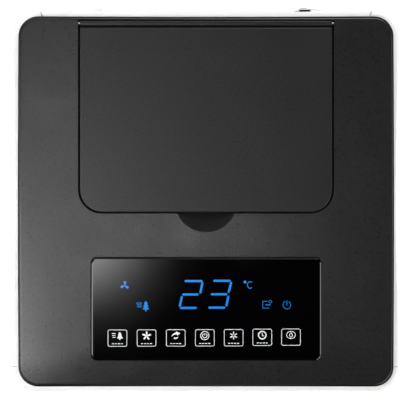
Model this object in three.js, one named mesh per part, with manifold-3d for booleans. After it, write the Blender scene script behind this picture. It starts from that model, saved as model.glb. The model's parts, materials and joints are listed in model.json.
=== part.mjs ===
// Evaporative air cooler on castors, as an assembly of separate pieces
// Millimetres, +Z up, the front faces -Y, the origin is on the floor under the middle
import * as THREE from 'three';
import { mergeVertices } from 'three/addons/utils/BufferGeometryUtils.js';
import Module from 'manifold-3d';

const wasm = await Module();
wasm.setup();

// Driving sizes of the whole cooler
const overallHeight = 740;
const shellWidth = 330;
const shellDepth = 325;
const wall = 3;
const cornerRadius = 21;
const waistDepth = 3.9;
const waistFrontShare = 0.32;
const waistRearShare = 0.214;
const clearance = 0.3;
const seamGap = 0.4;
const overrun = 2;
const curveSteps = 6;
const bladeSteps = 4;

// Driving sizes of each piece or group of pieces
const deck = {
  height: 7, skin: 3, cornerRadius: 16.5, rimSide: 5.3, rimFront: 4.9, rimRear: 5.9, skirt: 3,
};
const rim = { trayGap: 0.9, thickness: 3 };
const lid = {
  sideMargin: 52.4, fromGlass: 38.8, thickness: 3.2, gap: 1.2, frontRadius: 20, ledge: 5,
};
const hinge = {
  edge: 2.5, channel: 5.5, barrelGap: 0.45, floorGap: 0.5, rodRadius: 1, bore: 1.3, sink: 0.3, gapToLid: 1.5,
  webRise: 0.6, endWall: 2.5, rodGrip: 1.5,
};
const notch = {
  sides: 28, radius: 26.8, depth: 9, backFromLidFront: 9.7, blockWall: 3.2, blockFloor: 3, rearWall: 2,
};
const glass = {
  sideMargin: 61.6, depth: 87.4, radius: 5, thickness: 2.3, proud: 0.4, frontMargin: 21.9, frame: 3,
};
const board = { sideInset: 4.1, endInset: 3.7, thickness: 1.6, lip: 3 };
const display = { sideInset: 19, depth: 30, thickness: 1.8, rearMargin: 16 };
const controlBox = { sideInset: 24, endInset: 7, height: 24, wall: 2 };
const tray = { depth: 43, wall: 2, flange: 3, drainBore: 5, drainWall: 2, spout: 9, drainInTrough: 13.9 };
const hook = { reach: 5, width: 16.2, height: 11, strand: 3, rise: 2, root: 1 };
const base = { height: 12, plate: 3, inset: 1.5, band: 4.5, runnerWidth: 6, runnerInset: 32 };
const rearOpening = { sideMargin: 43, sill: 19, head: 17, ring: 3, seamMargin: 24 };
const tank = { height: 170, wall: 2.5, floor: 3, radius: 10, frontGap: 5, topGap: 5.4 };
const door = {
  depth: 16.5, skin: 3, cupWidth: 90, cupHeight: 22, cupGap: 2, cupFromTop: 12, cupWall: 1.5,
};
const pump = {
  width: 46, depth: 38, height: 44, pipeRadius: 4.5, sideInset: 31.3, y: 40, inletRadius: 8, inletHeight: 8,
};
const plug = { sideInset: 26.3, rise: 12, radius: 6, headRadius: 8.5, headHeight: 3, tube: 2.5, inside: 8 };
const float = { x: -60, rodRadius: 2, radius: 12, height: 12, wallGap: 2.5, headroom: 6 };
const latch = { length: 34, width: 10, thickness: 3, pinRadius: 3, x: 0 };
const gland = { seamInset: 41, radius: 8, stemRadius: 6.4, bore: 3.2, stem: 6, proud: 3 };
const levelWindow = { width: 12, rise: 28, drop: 22.3, lip: 4, lipThickness: 1.5 };
const shelf = { thickness: 3, returnWidth: 120, returnDepth: 18, ribThickness: 3 };
const grommet = { radius: 8, flangeRadius: 11, flangeHeight: 2, height: 11 };
const hose = { radius: 5, bend: 22, insert: 7, halfSides: 4, steps: 26 };
const trough = {
  height: 24, depth: 37.5, wall: 2, floor: 2, earGap: 2, topGap: 6, earWidth: 11, ringGap: 1.3,
};
const drip = { count: 12, radius: 1.6, endMargin: 38, sides: 6 };
const pad = { thickness: 44, topGap: 5, sideGap: 2.5, sillGap: 1.4 };
const net = { thickness: 0.7, margin: 5.6 };
const filter = {
  depth: 14, border: 12, skin: 3, crown: 71, slats: 18, slatThickness: 1.6, slatChord: 11, slatTilt: 35,
  mullion: 3, mullionOffset: 36, rib: 2.5,
};
const tab = { width: 17, edgeInset: 14.6, reach: 4, height: 18, drop: 3.6 };
const dip = { depth: 1 };
const outlet = { sideMargin: 40, drop: 43, wall: 3, flange: 8, flangeThickness: 2 };
const louvre = {
  count: 5, chord: 24, thickness: 2.6, setback: 3, tipGap: 8, pinRadius: 2, crank: 9, crankRadius: 1.5,
  pinEnd: 1.5,
};
const vane = {
  count: 5, chord: 26, thickness: 2, gap: 8, pinRadius: 2, crank: 8, crankRadius: 1.3, floorGap: 5,
  topGap: 0.6, pinEnd: 0.5, drive: 5,
};
const link = { width: 6, thickness: 2.5, end: 3.5, bore: 0.3, sideGap: 2 };
const swing = { radius: 14, height: 19, ear: 7, earThickness: 2 };
const scroll = {
  depth: 90, rise: 279.3, wall: 2.5, growth: 24, tongueTurn: 150, foot: 27, footWidth: 14, footTopShare: 0.8,
  footEndShare: 0.25, steps: 14,
};
const scrollCover = {
  thickness: 2.5, inletInset: 17, lip: 3, lipHeight: 5, guardRing: 40, guardBar: 2.5, hub: 9, sides: 28,
};
const wheel = {
  gap: 8, start: 9, rearGap: 13, blades: 30, blade: 17, bladeShare: 0.86, bladeThickness: 1.4, bladeTilt: 35,
  disc: 2, ring: 2, hubRadius: 14, hubLength: 34,
};
const motor = {
  radius: 42, length: 42, flangeRadius: 50, flange: 3, shaftRadius: 4, bossRadius: 16, boss: 4, sides: 28,
};
const grip = { length: 90, height: 32, depth: 22, wall: 2, drop: 110, centre: 0 };
const castor = {
  height: 50, radius: 17, width: 13, bore: 3.4, axleRadius: 3, headRadius: 4.5, headHeight: 1.4,
  axleSides: 8, legThickness: 2.5, legGap: 0.5, trail: 12, hubRadius: 12, hubHeight: 7, stemRadius: 4.7,
  stemLength: 20, boss: 3, socketCap: 1.4, sideGap: 1, endInset: 42, legEye: 6, legHalf: 9,
  sides: 16, legSteps: 3, socketFloor: 0.6,
};
const groove = { depth: 0.8, height: 1.6, drop: 20 };

// Levels and planes that the pieces share
const overallDepth = shellDepth + hook.reach;
const frontY = -overallDepth / 2;
const rearY = frontY + shellDepth;
const halfWidth = shellWidth / 2;
const shellTop = overallHeight - deck.height;
const hingeStrip = hinge.edge + hinge.channel;
const ringDepth = deck.rimRear + hingeStrip + lid.ledge - rim.trayGap;
const rimFlange = ringDepth - tray.flange;
const shellBottom = castor.height + base.height;
const tankTop = shellBottom + clearance + tank.height;
const shelfBottom = tankTop + tank.topGap;
const shelfTop = shelfBottom + shelf.thickness;
const openingHalf = halfWidth - rearOpening.sideMargin;
const openingBottom = shelfTop + rearOpening.sill;
const openingTop = shellTop - rearOpening.head;
const trayBottom = shellTop - tray.depth;
const troughTop = trayBottom - trough.topGap;
const troughBottom = troughTop - trough.height;
const outletTop = shellTop - outlet.drop;
const outletBottom = shelfTop + scroll.rise;
const outletHalf = halfWidth - outlet.sideMargin;
const louvreY = frontY + louvre.setback + louvre.chord / 2;
const vaneY = louvreY + louvre.chord / 2 + vane.gap + vane.chord / 2;
const outletRear = vaneY + swing.radius + clearance;
const scrollRear = outletRear + scroll.depth;
const radians = THREE.MathUtils.degToRad;

// Materials, by the finish of each kind of piece
function finish(color, roughness, metalness = 0) {
  return new THREE.MeshStandardMaterial({ color, roughness, metalness });
}
const whiteShell = finish(0xf2f3f3, 0.42);
const blackDeck = finish(0x3b3c3e, 0.55);
const blackGloss = finish(0x0b0c0e, 0.08);
const darkPlastic = finish(0x2a2b2d, 0.6);
const greyPlastic = finish(0x8d9093, 0.6);
const clearTank = finish(0xc9dbe2, 0.25);
const steel = finish(0xb9bcc0, 0.3, 0.9);
const rubber = finish(0x1c1c1c, 0.85);
const padPaper = finish(0xa9824c, 0.95);
const circuit = finish(0x1d5b36, 0.5);
const blueGlow = finish(0x1e9bff, 0.3);

// Helpers that turn three.js geometry into solids and back
function solidOf(geometry) {
  const loose = geometry.index ? geometry.toNonIndexed() : geometry;
  const bare = new THREE.BufferGeometry().setAttribute('position', loose.getAttribute('position'));
  const welded = mergeVertices(bare);
  const corners = welded.index.array;
  const triVerts = [];
  for (let i = 0; i < corners.length; i += 3) {
    const [a, b, c] = [corners[i], corners[i + 1], corners[i + 2]];
    if (a !== b && b !== c && c !== a) triVerts.push(a, b, c);
  }
  const vertProperties = welded.attributes.position.array;
  const mesh = new wasm.Mesh({ numProp: 3, vertProperties, triVerts: new Uint32Array(triVerts) });
  return new wasm.Manifold(mesh);
}

function geometryOf(solid) {
  const mesh = solid.getMesh();
  const geometry = new THREE.BufferGeometry();
  geometry.setAttribute('position', new THREE.BufferAttribute(new Float32Array(mesh.vertProperties), 3));
  geometry.setIndex(new THREE.BufferAttribute(new Uint32Array(mesh.triVerts), 1));
  geometry.computeVertexNormals();
  return geometry;
}

const join = (...solids) => solids.reduce((whole, solid) => whole.add(solid));
const cut = (solid, ...tools) => tools.reduce((whole, tool) => whole.subtract(tool), solid);

function box(x0, x1, y0, y1, z0, z1) {
  const geometry = new THREE.BoxGeometry(x1 - x0, y1 - y0, z1 - z0);
  return solidOf(geometry.translate((x0 + x1) / 2, (y0 + y1) / 2, (z0 + z1) / 2));
}

function extrusion(shape, length, steps = curveSteps) {
  return new THREE.ExtrudeGeometry(shape, { depth: length, bevelEnabled: false, curveSegments: steps });
}

// A flat outline in X and Y, raised from z0 to z1
function plate(shape, z0, z1, steps) {
  return solidOf(extrusion(shape, z1 - z0, steps).translate(0, 0, z0));
}

// An outline in X and Z, run along Y
const alongY = new THREE.Matrix4().makeBasis(
  new THREE.Vector3(1, 0, 0), new THREE.Vector3(0, 0, 1), new THREE.Vector3(0, -1, 0),
);
function profileY(shape, y0, y1, steps) {
  return solidOf(extrusion(shape, y1 - y0, steps).applyMatrix4(alongY).translate(0, y1, 0));
}

// An outline in Y and Z, run along X
const alongX = new THREE.Matrix4().makeBasis(
  new THREE.Vector3(0, 1, 0), new THREE.Vector3(0, 0, 1), new THREE.Vector3(1, 0, 0),
);
function profileX(shape, x0, x1, steps) {
  return solidOf(extrusion(shape, x1 - x0, steps).applyMatrix4(alongX).translate(x0, 0, 0));
}

// A round bar along one axis, from one place on it to another, about a centre across it
function rod(axis, [u, v], radius, from, to, sides = 12) {
  const geometry = new THREE.CylinderGeometry(radius, radius, to - from, sides);
  const middle = (from + to) / 2;
  if (axis === 'x') return solidOf(geometry.rotateZ(Math.PI / 2).translate(middle, u, v));
  if (axis === 'y') return solidOf(geometry.translate(u, middle, v));
  return solidOf(geometry.rotateX(Math.PI / 2).translate(u, v, middle));
}

// A turned ring about a bar's axis
function ring(axis, centre, outer, inner, from, to, sides = 20) {
  return rod(axis, centre, outer, from, to, sides).subtract(
    rod(axis, centre, inner, from - overrun, to + overrun, sides),
  );
}

function roundedRectangle(x0, x1, y0, y1, frontRadius, rearRadius = frontRadius) {
  const shape = new THREE.Shape();
  shape.moveTo(x0 + frontRadius, y0);
  shape.absarc(x1 - frontRadius, y0 + frontRadius, frontRadius, -Math.PI / 2, 0);
  if (rearRadius > 0) {
    shape.absarc(x1 - rearRadius, y1 - rearRadius, rearRadius, 0, Math.PI / 2);
    shape.absarc(x0 + rearRadius, y1 - rearRadius, rearRadius, Math.PI / 2, Math.PI);
  } else {
    shape.lineTo(x1, y1);
    shape.lineTo(x0, y1);
  }
  shape.absarc(x0 + frontRadius, y0 + frontRadius, frontRadius, Math.PI, Math.PI * 1.5);
  return shape;
}

const outline = (points) => new THREE.Shape(points.map(([x, y]) => new THREE.Vector2(x, y)));

// Plan of the cabinet: rounded corners and gently waisted sides, drawn in by an inset
const sideStart = frontY + cornerRadius;
const sideEnd = rearY - cornerRadius;
const waistStart = sideStart + (sideEnd - sideStart) * waistFrontShare;
const waistEnd = sideEnd - (sideEnd - sideStart) * waistRearShare;
function cabinetPlan(inset) {
  const [x, front, rear, radius] = [halfWidth - inset, frontY + inset, rearY - inset, cornerRadius - inset];
  const waist = x - waistDepth;
  const frontMiddle = (sideStart + waistStart) / 2;
  const rearMiddle = (sideEnd + waistEnd) / 2;
  const shape = new THREE.Shape();
  shape.moveTo(-x + radius, front);
  shape.absarc(x - radius, sideStart, radius, -Math.PI / 2, 0);
  shape.bezierCurveTo(x, frontMiddle, waist, frontMiddle, waist, waistStart);
  shape.lineTo(waist, waistEnd);
  shape.bezierCurveTo(waist, rearMiddle, x, rearMiddle, x, sideEnd);
  shape.absarc(x - radius, sideEnd, radius, 0, Math.PI / 2);
  shape.absarc(-x + radius, sideEnd, radius, Math.PI / 2, Math.PI);
  shape.bezierCurveTo(-x, rearMiddle, -waist, rearMiddle, -waist, waistEnd);
  shape.lineTo(-waist, waistStart);
  shape.bezierCurveTo(-waist, frontMiddle, -x, frontMiddle, -x, sideStart);
  shape.absarc(-x + radius, sideStart, radius, Math.PI, Math.PI * 1.5);
  return shape;
}
const cabinetBody = (inset, z0, z1) => plate(cabinetPlan(inset), z0, z1);

// The finished group: each piece is a named mesh with its own material
const cooler = new THREE.Group();
cooler.name = 'evaporative_cooler';
function add(name, solid, material, parent = cooler) {
  const mesh = new THREE.Mesh(geometryOf(solid), material.clone());
  mesh.name = name;
  parent.add(mesh);
}

// Base pan: a plate with a raised band, two tank runners and four castor sockets
const stemBore = castor.stemRadius + clearance;
const castorX = openingHalf + castor.sideGap + stemBore + castor.boss;
const castorFront = frontY + castor.endInset;
const castorRear = rearY - castor.endInset;
const castorPlaces = [
  ['front_left', -castorX, castorFront], ['front_right', castorX, castorFront],
  ['rear_left', -castorX, castorRear], ['rear_right', castorX, castorRear],
];
function makeBasePan() {
  const bottom = castor.height;
  let pan = join(
    cabinetBody(base.inset, bottom, bottom + base.plate),
    cut(
      cabinetBody(base.inset, bottom, shellBottom),
      cabinetBody(base.inset + base.band, bottom - overrun, shellBottom + overrun),
    ),
  );
  for (const x of [base.runnerInset - openingHalf, openingHalf - base.runnerInset]) {
    const half = base.runnerWidth / 2;
    const ends = base.inset + base.band / 2;
    pan = pan.add(box(x - half, x + half, frontY + ends, rearY - ends, bottom, shellBottom));
  }
  for (const [, x, y] of castorPlaces) {
    const boreTop = bottom + castor.stemLength + castor.socketFloor;
    pan = pan.add(rod('z', [x, y], stemBore + castor.boss, bottom, boreTop + castor.socketCap));
    pan = pan.subtract(rod('z', [x, y], stemBore, bottom - overrun, boreTop));
  }
  return pan;
}
add('base_pan', makeBasePan(), darkPlastic);

// Castors: a swivelling fork on a stem, an axle pin and a rolling wheel
for (const [place, x, y] of castorPlaces) {
  const corner = new THREE.Group();
  corner.position.set(x, y, 0);
  cooler.add(corner);
  const hubTop = castor.height - clearance;
  const hubBottom = hubTop - castor.hubHeight;
  const legIn = castor.width / 2 + castor.legGap;
  const legOut = legIn + castor.legThickness;
  const eye = [castor.trail, castor.radius];
  const leg = new THREE.Shape();
  leg.moveTo(-castor.legHalf, hubTop - castor.hubHeight / 2);
  leg.lineTo(eye[0] - castor.legEye, eye[1]);
  leg.absarc(eye[0], eye[1], castor.legEye, Math.PI, Math.PI * 2);
  leg.lineTo(castor.legHalf, hubTop - castor.hubHeight / 2);
  let fork = join(
    rod('z', [0, 0], castor.hubRadius, hubBottom, hubTop),
    rod('z', [0, 0], castor.stemRadius, hubTop - overrun, castor.height + castor.stemLength),
  );
  for (const side of [-1, 1]) {
    const [low, high] = [side * legIn, side * legOut].sort((a, b) => a - b);
    fork = fork.add(profileX(leg, low, high, castor.legSteps));
  }
  fork = fork.subtract(rod('x', eye, castor.axleRadius + clearance, -legOut - overrun, legOut + overrun));
  add(`castor_fork_${place}`, fork, darkPlastic, corner);

  const pinEnd = legOut + clearance;
  const axle = join(
    rod('x', eye, castor.axleRadius, -pinEnd, pinEnd, castor.axleSides),
    rod('x', eye, castor.headRadius, pinEnd - clearance / 2, pinEnd + castor.headHeight, castor.axleSides),
    rod('x', eye, castor.headRadius, -pinEnd - castor.headHeight, -pinEnd + clearance / 2, castor.axleSides),
  );
  add(`castor_axle_${place}`, axle, steel, corner);

  const tread = castor.radius / Math.cos(Math.PI / castor.sides);
  const half = castor.width / 2;
  const groove = castor.axleRadius;
  const rollingProfile = [
    [castor.bore + clearance, -half], [tread - groove, -half], [tread, -half + groove],
    [tread, half - groove], [tread - groove, half],
    [castor.bore + clearance, half], [castor.bore + clearance, -half],
  ].map(([r, along]) => new THREE.Vector2(r, along));
  const rolling = new THREE.LatheGeometry(rollingProfile, castor.sides);
  rolling.rotateY(Math.PI / castor.sides).rotateZ(Math.PI / 2).translate(0, eye[0], eye[1]);
  add(`castor_wheel_${place}`, solidOf(rolling), rubber, corner);
}

// Cabinet shell: one walled outline, cut at its seams into front, sides and rear
const shellRing = join(
  cut(cabinetBody(0, shellBottom, shellTop), cabinetBody(wall, shellBottom - overrun, shellTop + overrun)),
  cut(
    cabinetBody(wall / 2, shellTop - rim.thickness, shellTop),
    cabinetBody(rimFlange, shellTop - rim.thickness - overrun, shellTop + overrun),
  ),
);
const far = shellWidth + shellDepth;
const seamHalf = seamGap / 2;
const frontBlock = box(-far, far, -far, sideStart - seamHalf, 0, overallHeight);
const frontKeep = box(-far, far, -far, sideStart + seamHalf, 0, overallHeight);
const rearSeam = halfWidth - rearOpening.seamMargin;
const rearBlock = box(seamHalf - rearSeam, rearSeam - seamHalf, 0, far, 0, overallHeight);
const rearKeep = box(-rearSeam - seamHalf, rearSeam + seamHalf, 0, far, 0, overallHeight);

const windowBottom = shellBottom + levelWindow.rise;
const windowTop = tankTop - levelWindow.drop;
function makeFrontShell() {
  const half = outletHalf + seamGap;
  const windowHalf = levelWindow.width / 2 + clearance;
  const grooveTop = outletBottom - groove.drop;
  return cut(
    shellRing.intersect(frontBlock),
    box(-half, half, -far, outletRear, outletBottom - seamGap, outletTop + seamGap),
    box(-windowHalf, windowHalf, -far, outletRear, windowBottom - clearance, windowTop + clearance),
    box(-far, far, frontY - overrun, frontY + groove.depth, grooveTop - groove.height, grooveTop),
  );
}
add('front_shell', makeFrontShell(), whiteShell);

// Level window: a clear strip flush with the front, held by a lip behind the wall
function makeLevelWindow() {
  const half = levelWindow.width / 2;
  const back = frontY + wall + clearance;
  const lipHalf = half + levelWindow.lip;
  return join(
    box(-half, half, frontY, back + levelWindow.lipThickness, windowBottom, windowTop),
    box(
      -lipHalf, lipHalf, back, back + levelWindow.lipThickness,
      windowBottom - levelWindow.lip, windowTop + levelWindow.lip,
    ),
  );
}
add('level_window', makeLevelWindow(), clearTank);

// Side panels: each wraps its rear corner and holds a hand grip
const gripTop = shellTop - grip.drop;
const gripBottom = gripTop - grip.height;
const gripMiddle = (waistStart + waistEnd) / 2 + grip.centre;
function makeSidePanel(side) {
  const innerFace = halfWidth - waistDepth - wall;
  const cupIn = innerFace - grip.depth;
  const across = (x0, x1, y0, y1, z0, z1) => {
    if (side > 0) return box(x0, x1, y0, y1, z0, z1);
    return box(-x1, -x0, y0, y1, z0, z1);
  };
  const [low, high] = [gripMiddle - grip.length / 2, gripMiddle + grip.length / 2];
  const cupOuter = across(
    cupIn - grip.wall, innerFace + wall / 2, low - grip.wall, high + grip.wall,
    gripBottom - grip.wall, gripTop + grip.wall,
  );
  const cupInner = across(cupIn, halfWidth + overrun, low, high, gripBottom, gripTop);
  const half = across(overrun, far, -far, far, 0, overallHeight);
  return cut(join(cut(shellRing.intersect(half), frontKeep, rearKeep), cupOuter), cupInner);
}
add('side_panel_left', makeSidePanel(-1), whiteShell);
add('side_panel_right', makeSidePanel(1), whiteShell);

// Rear panel: open for the tank below and for the filter above, with a ring that guides the filter
const doorTop = tankTop + tank.topGap;
const latchZ = (doorTop + clearance + openingBottom - rearOpening.ring) / 2;
const innerRear = rearY - wall;
const glandX = gland.seamInset - rearSeam;
const glandZ = shelfTop + clearance + gland.stemRadius;
const filterHalf = openingHalf - seamGap;
const tabOuter = filterHalf - tab.edgeInset;
const tabInner = tabOuter - tab.width;
const dipBox = box(-tabInner, tabInner, rearY - dip.depth, rearY + overrun, openingTop, shellTop + overrun);
function makeRearPanel() {
  const filterHole = (grow, y0, y1) => box(
    -openingHalf - grow, openingHalf + grow, y0, y1, openingBottom - grow, openingTop + grow,
  );
  const guide = cut(
    filterHole(rearOpening.ring, rearY - ringDepth, rearY - wall / 2),
    filterHole(0, -far, far),
  );
  return cut(
    join(shellRing.intersect(rearBlock), guide),
    filterHole(0, 0, far),
    box(-openingHalf, openingHalf, 0, far, shellBottom - overrun, doorTop + clearance),
    rod('y', [latch.x, latchZ], latch.pinRadius + clearance, 0, far),
    rod('y', [glandX, glandZ], gland.stemRadius + clearance, 0, far),
    dipBox,
  );
}
add('rear_panel', makeRearPanel(), whiteShell);

// Cord gland and the small cord hook at the top of the rear
add('cord_gland', cut(
  join(
    rod('y', [glandX, glandZ], gland.stemRadius, innerRear - gland.stem, rearY + gland.proud),
    rod('y', [glandX, glandZ], gland.radius, rearY + clearance, rearY + gland.proud),
  ),
  rod('y', [glandX, glandZ], gland.bore, 0, far),
), rubber);

function makeCordHook() {
  const seat = rearY - dip.depth + clearance;
  const bottom = openingTop + hook.rise;
  const top = bottom + hook.height;
  const middle = tabInner - clearance - hook.width / 2;
  const loop = (halfX, reach) => {
    const shape = new THREE.Shape();
    shape.moveTo(middle - halfX, seat);
    shape.lineTo(middle + halfX, seat);
    shape.absellipse(middle, seat, halfX, reach, 0, Math.PI);
    return shape;
  };
  const reach = rearY + hook.reach - seat;
  const back = new THREE.Shape();
  const halfX = hook.width / 2;
  back.moveTo(middle - halfX, seat);
  back.lineTo(middle + halfX, seat);
  back.lineTo(middle + halfX, seat + hook.root);
  back.lineTo(middle - halfX, seat + hook.root);
  return join(
    cut(
      plate(loop(halfX, reach), bottom, top),
      plate(loop(halfX - hook.strand, reach - hook.strand / 2), bottom - overrun, top + overrun),
    ),
    plate(back, bottom, top),
  );
}
add('cord_hook', makeCordHook(), darkPlastic);

// Tank latch: a turn button above the tank door, shown turned out of the door's way
add('tank_latch', join(
  box(
    latch.x - latch.width / 2, latch.x + latch.length, rearY + clearance, rearY + clearance + latch.thickness,
    latchZ - latch.width / 2, latchZ + latch.width / 2,
  ),
  rod('y', [latch.x, latchZ], latch.pinRadius, innerRear - latch.thickness, rearY + latch.thickness / 2),
), greyPlastic);

// Water tank: an open box on the runners, with a drain tube and the float's guide rod
const tankHalf = openingHalf - clearance - seamGap;
const tankBottom = shellBottom + clearance;
const tankFloor = tankBottom + tank.floor;
const tankFront = frontY + wall + tank.frontGap;
const tankRear = rearY - door.depth - clearance;
const plugX = plug.sideInset - tankHalf;
const plugZ = tankFloor + plug.rise;
const pumpX = tankHalf - pump.sideInset;
const floatY = tankFront + tank.wall + float.wallGap + float.radius;
function makeTank() {
  const plan = (inset) => roundedRectangle(
    -tankHalf + inset, tankHalf - inset, tankFront + inset, tankRear - inset, tank.radius - inset,
  );
  const tube = plug.radius + clearance;
  return cut(
    join(
      cut(plate(plan(0), tankBottom, tankTop), plate(plan(tank.wall), tankFloor, tankTop + overrun)),
      rod('y', [plugX, plugZ], tube + plug.tube, tankRear - tank.wall, rearY - clearance),
      rod('z', [float.x, floatY], float.rodRadius, tankFloor - tank.floor / 2, tankTop - float.headroom),
    ),
    rod('y', [plugX, plugZ], tube, tankRear - tank.wall - overrun, far),
  );
}
add('water_tank', makeTank(), clearTank);

function makeTankDoor() {
  const front = rearY - door.depth;
  const cupFront = front + door.cupGap + door.cupWall;
  const skinFront = rearY - door.skin;
  const cupTop = doorTop - door.cupFromTop;
  const cupBottom = cupTop - door.cupHeight;
  const cupHalf = door.cupWidth / 2;
  const shell = cut(
    box(-tankHalf, tankHalf, front, rearY, tankBottom, doorTop),
    box(
      -tankHalf + door.skin, tankHalf - door.skin, front - overrun, skinFront,
      tankBottom + door.skin, doorTop - door.skin,
    ),
  );
  const cup = box(
    -cupHalf - door.cupWall, cupHalf + door.cupWall,
    cupFront - door.cupWall, skinFront + door.skin / 2,
    cupBottom - door.cupWall, cupTop + door.cupWall,
  );
  return cut(
    join(shell, cup),
    box(-cupHalf, cupHalf, cupFront, rearY + overrun, cupBottom, cupTop),
    rod(
      'y', [plugX, plugZ], plug.radius + plug.tube + clearance + seamGap, front - overrun, rearY + overrun,
    ),
  );
}
add('tank_door', makeTankDoor(), whiteShell);

add('drain_plug', join(
  rod('y', [plugX, plugZ], plug.radius, tankRear - plug.inside, rearY + plug.headHeight / 2),
  rod('y', [plugX, plugZ], plug.headRadius, rearY + clearance, rearY + plug.headHeight),
), rubber);

const floatBottom = tankFloor + clearance;
add('level_float', ring(
  'z', [float.x, floatY], float.radius, float.rodRadius + clearance, floatBottom, floatBottom + float.height,
), blueGlow);

// Pump: stands on the tank floor, and its pipe ends just under the shelf's grommet
add('water_pump', join(
  box(
    pumpX - pump.width / 2, pumpX + pump.width / 2, pump.y - pump.depth / 2, pump.y + pump.depth / 2,
    tankFloor, tankFloor + pump.height,
  ),
  rod('z', [pumpX, pump.y], pump.pipeRadius, tankFloor + pump.height / 2, shelfBottom - clearance),
  rod(
    'y', [pumpX, tankFloor + pump.inletHeight + pump.inletRadius], pump.inletRadius,
    pump.y - pump.depth / 2 - pump.inletHeight, pump.y,
  ),
), darkPlastic);

// Mid shelf: closes the tank room, holds the pad up on two ribs and lets its water run back
const padRear = rearY - filter.depth - clearance - net.thickness - clearance;
const padFront = padRear - pad.thickness;
const padHalf = openingHalf - pad.sideGap;
const padBottom = openingBottom + pad.sillGap;
function makeShelf() {
  const ribTop = padBottom - clearance;
  const thick = shelf.ribThickness;
  const rib = (y) => box(-padHalf, padHalf, y, y + thick, shelfBottom + shelf.thickness / 2, ribTop);
  const middle = (padFront + padRear) / 2;
  return cut(
    join(
      cabinetBody(wall + clearance, shelfBottom, shelfTop),
      rib(padFront + thick),
      rib(middle + shelf.returnDepth / 2 + thick),
    ),
    box(
      -shelf.returnWidth / 2, shelf.returnWidth / 2,
      middle - shelf.returnDepth / 2, middle + shelf.returnDepth / 2,
      shelfBottom - overrun, shelfTop + overrun,
    ),
    rod('z', [pumpX, pump.y], grommet.radius + clearance, shelfBottom - overrun, shelfTop + overrun),
  );
}
add('mid_shelf', makeShelf(), greyPlastic);

// Grommet and riser hose: water goes up from the pump and back into the trough
const hoseBore = hose.radius + clearance;
add('hose_grommet', cut(
  join(
    rod('z', [pumpX, pump.y], grommet.radius, shelfBottom, shelfBottom + grommet.height),
    rod(
      'z', [pumpX, pump.y], grommet.flangeRadius,
      shelfTop + clearance, shelfTop + clearance + grommet.flangeHeight,
    ),
  ),
  rod('z', [pumpX, pump.y], hoseBore, shelfBottom - overrun, far + overallHeight),
), rubber);

const troughRear = rearY - ringDepth - trough.ringGap;
const troughFront = troughRear - trough.depth;
const troughHalf = openingHalf + rearOpening.ring + trough.earGap + trough.earWidth;
const portZ = troughBottom + trough.height / 2;
function makeRiserHose() {
  const start = shelfBottom + hose.insert / 2;
  const bendStart = portZ - hose.bend;
  const route = new THREE.CurvePath();
  const foot = new THREE.Vector3(pumpX, pump.y, start);
  const bendFoot = new THREE.Vector3(pumpX, pump.y, bendStart);
  const bendCorner = new THREE.Vector3(pumpX, pump.y, portZ);
  const bendHead = new THREE.Vector3(pumpX, pump.y + hose.bend, portZ);
  const end = new THREE.Vector3(pumpX, troughFront - clearance, portZ);
  route.add(new THREE.LineCurve3(foot, bendFoot));
  route.add(new THREE.QuadraticBezierCurve3(bendFoot, bendCorner, bendHead));
  route.add(new THREE.LineCurve3(bendHead, end));
  const section = new THREE.Shape();
  section.absarc(0, 0, hose.radius, 0, Math.PI * 2);
  return solidOf(new THREE.ExtrudeGeometry(section, {
    extrudePath: route, steps: hose.steps, curveSegments: hose.halfSides,
  }));
}
add('riser_hose', makeRiserHose(), rubber);

// Water trough: an open channel over the pad with a row of drip holes, screwed to the rear panel by ears
function makeTrough() {
  const half = troughHalf;
  const earIn = half - trough.earWidth;
  let channel = join(
    cut(
      box(-half, half, troughFront, troughRear, troughBottom, troughTop),
      box(
        -half + trough.wall, half - trough.wall, troughFront + trough.wall, troughRear - trough.wall,
        troughBottom + trough.floor, troughTop + overrun,
      ),
    ),
    box(earIn, half, troughRear - trough.wall, innerRear - clearance, troughBottom, troughTop),
    box(-half, -earIn, troughRear - trough.wall, innerRear - clearance, troughBottom, troughTop),
  );
  const dripHalf = half - drip.endMargin;
  const step = (dripHalf * 2) / (drip.count - 1);
  for (let i = 0; i < drip.count; i += 1) {
    const x = i * step - dripHalf;
    const y = (troughFront + troughRear) / 2;
    const [low, high] = [troughBottom - overrun, troughBottom + trough.floor + overrun];
    channel = channel.subtract(rod('z', [x, y], drip.radius, low, high, drip.sides));
  }
  return channel.subtract(rod(
    'y', [pumpX, portZ], hose.radius - trough.wall / 2,
    troughFront - overrun, troughFront + trough.wall + overrun,
  ));
}
add('water_trough', makeTrough(), greyPlastic);

// Cooling pad, filter net and the rear filter frame with its two pull tabs
const padTop = troughBottom - pad.topGap;
add('cooling_pad', box(-padHalf, padHalf, padFront, padRear, padBottom, padTop), padPaper);

const filterFront = rearY - filter.depth;
const filterBottom = openingBottom + seamGap;
const filterTop = openingTop - seamGap;
const grilleTop = filterTop - filter.crown;
add('filter_net', box(
  -filterHalf + net.margin, filterHalf - net.margin, filterFront - clearance - net.thickness,
  filterFront - clearance, filterBottom + net.margin, grilleTop + net.margin,
), darkPlastic);

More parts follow.
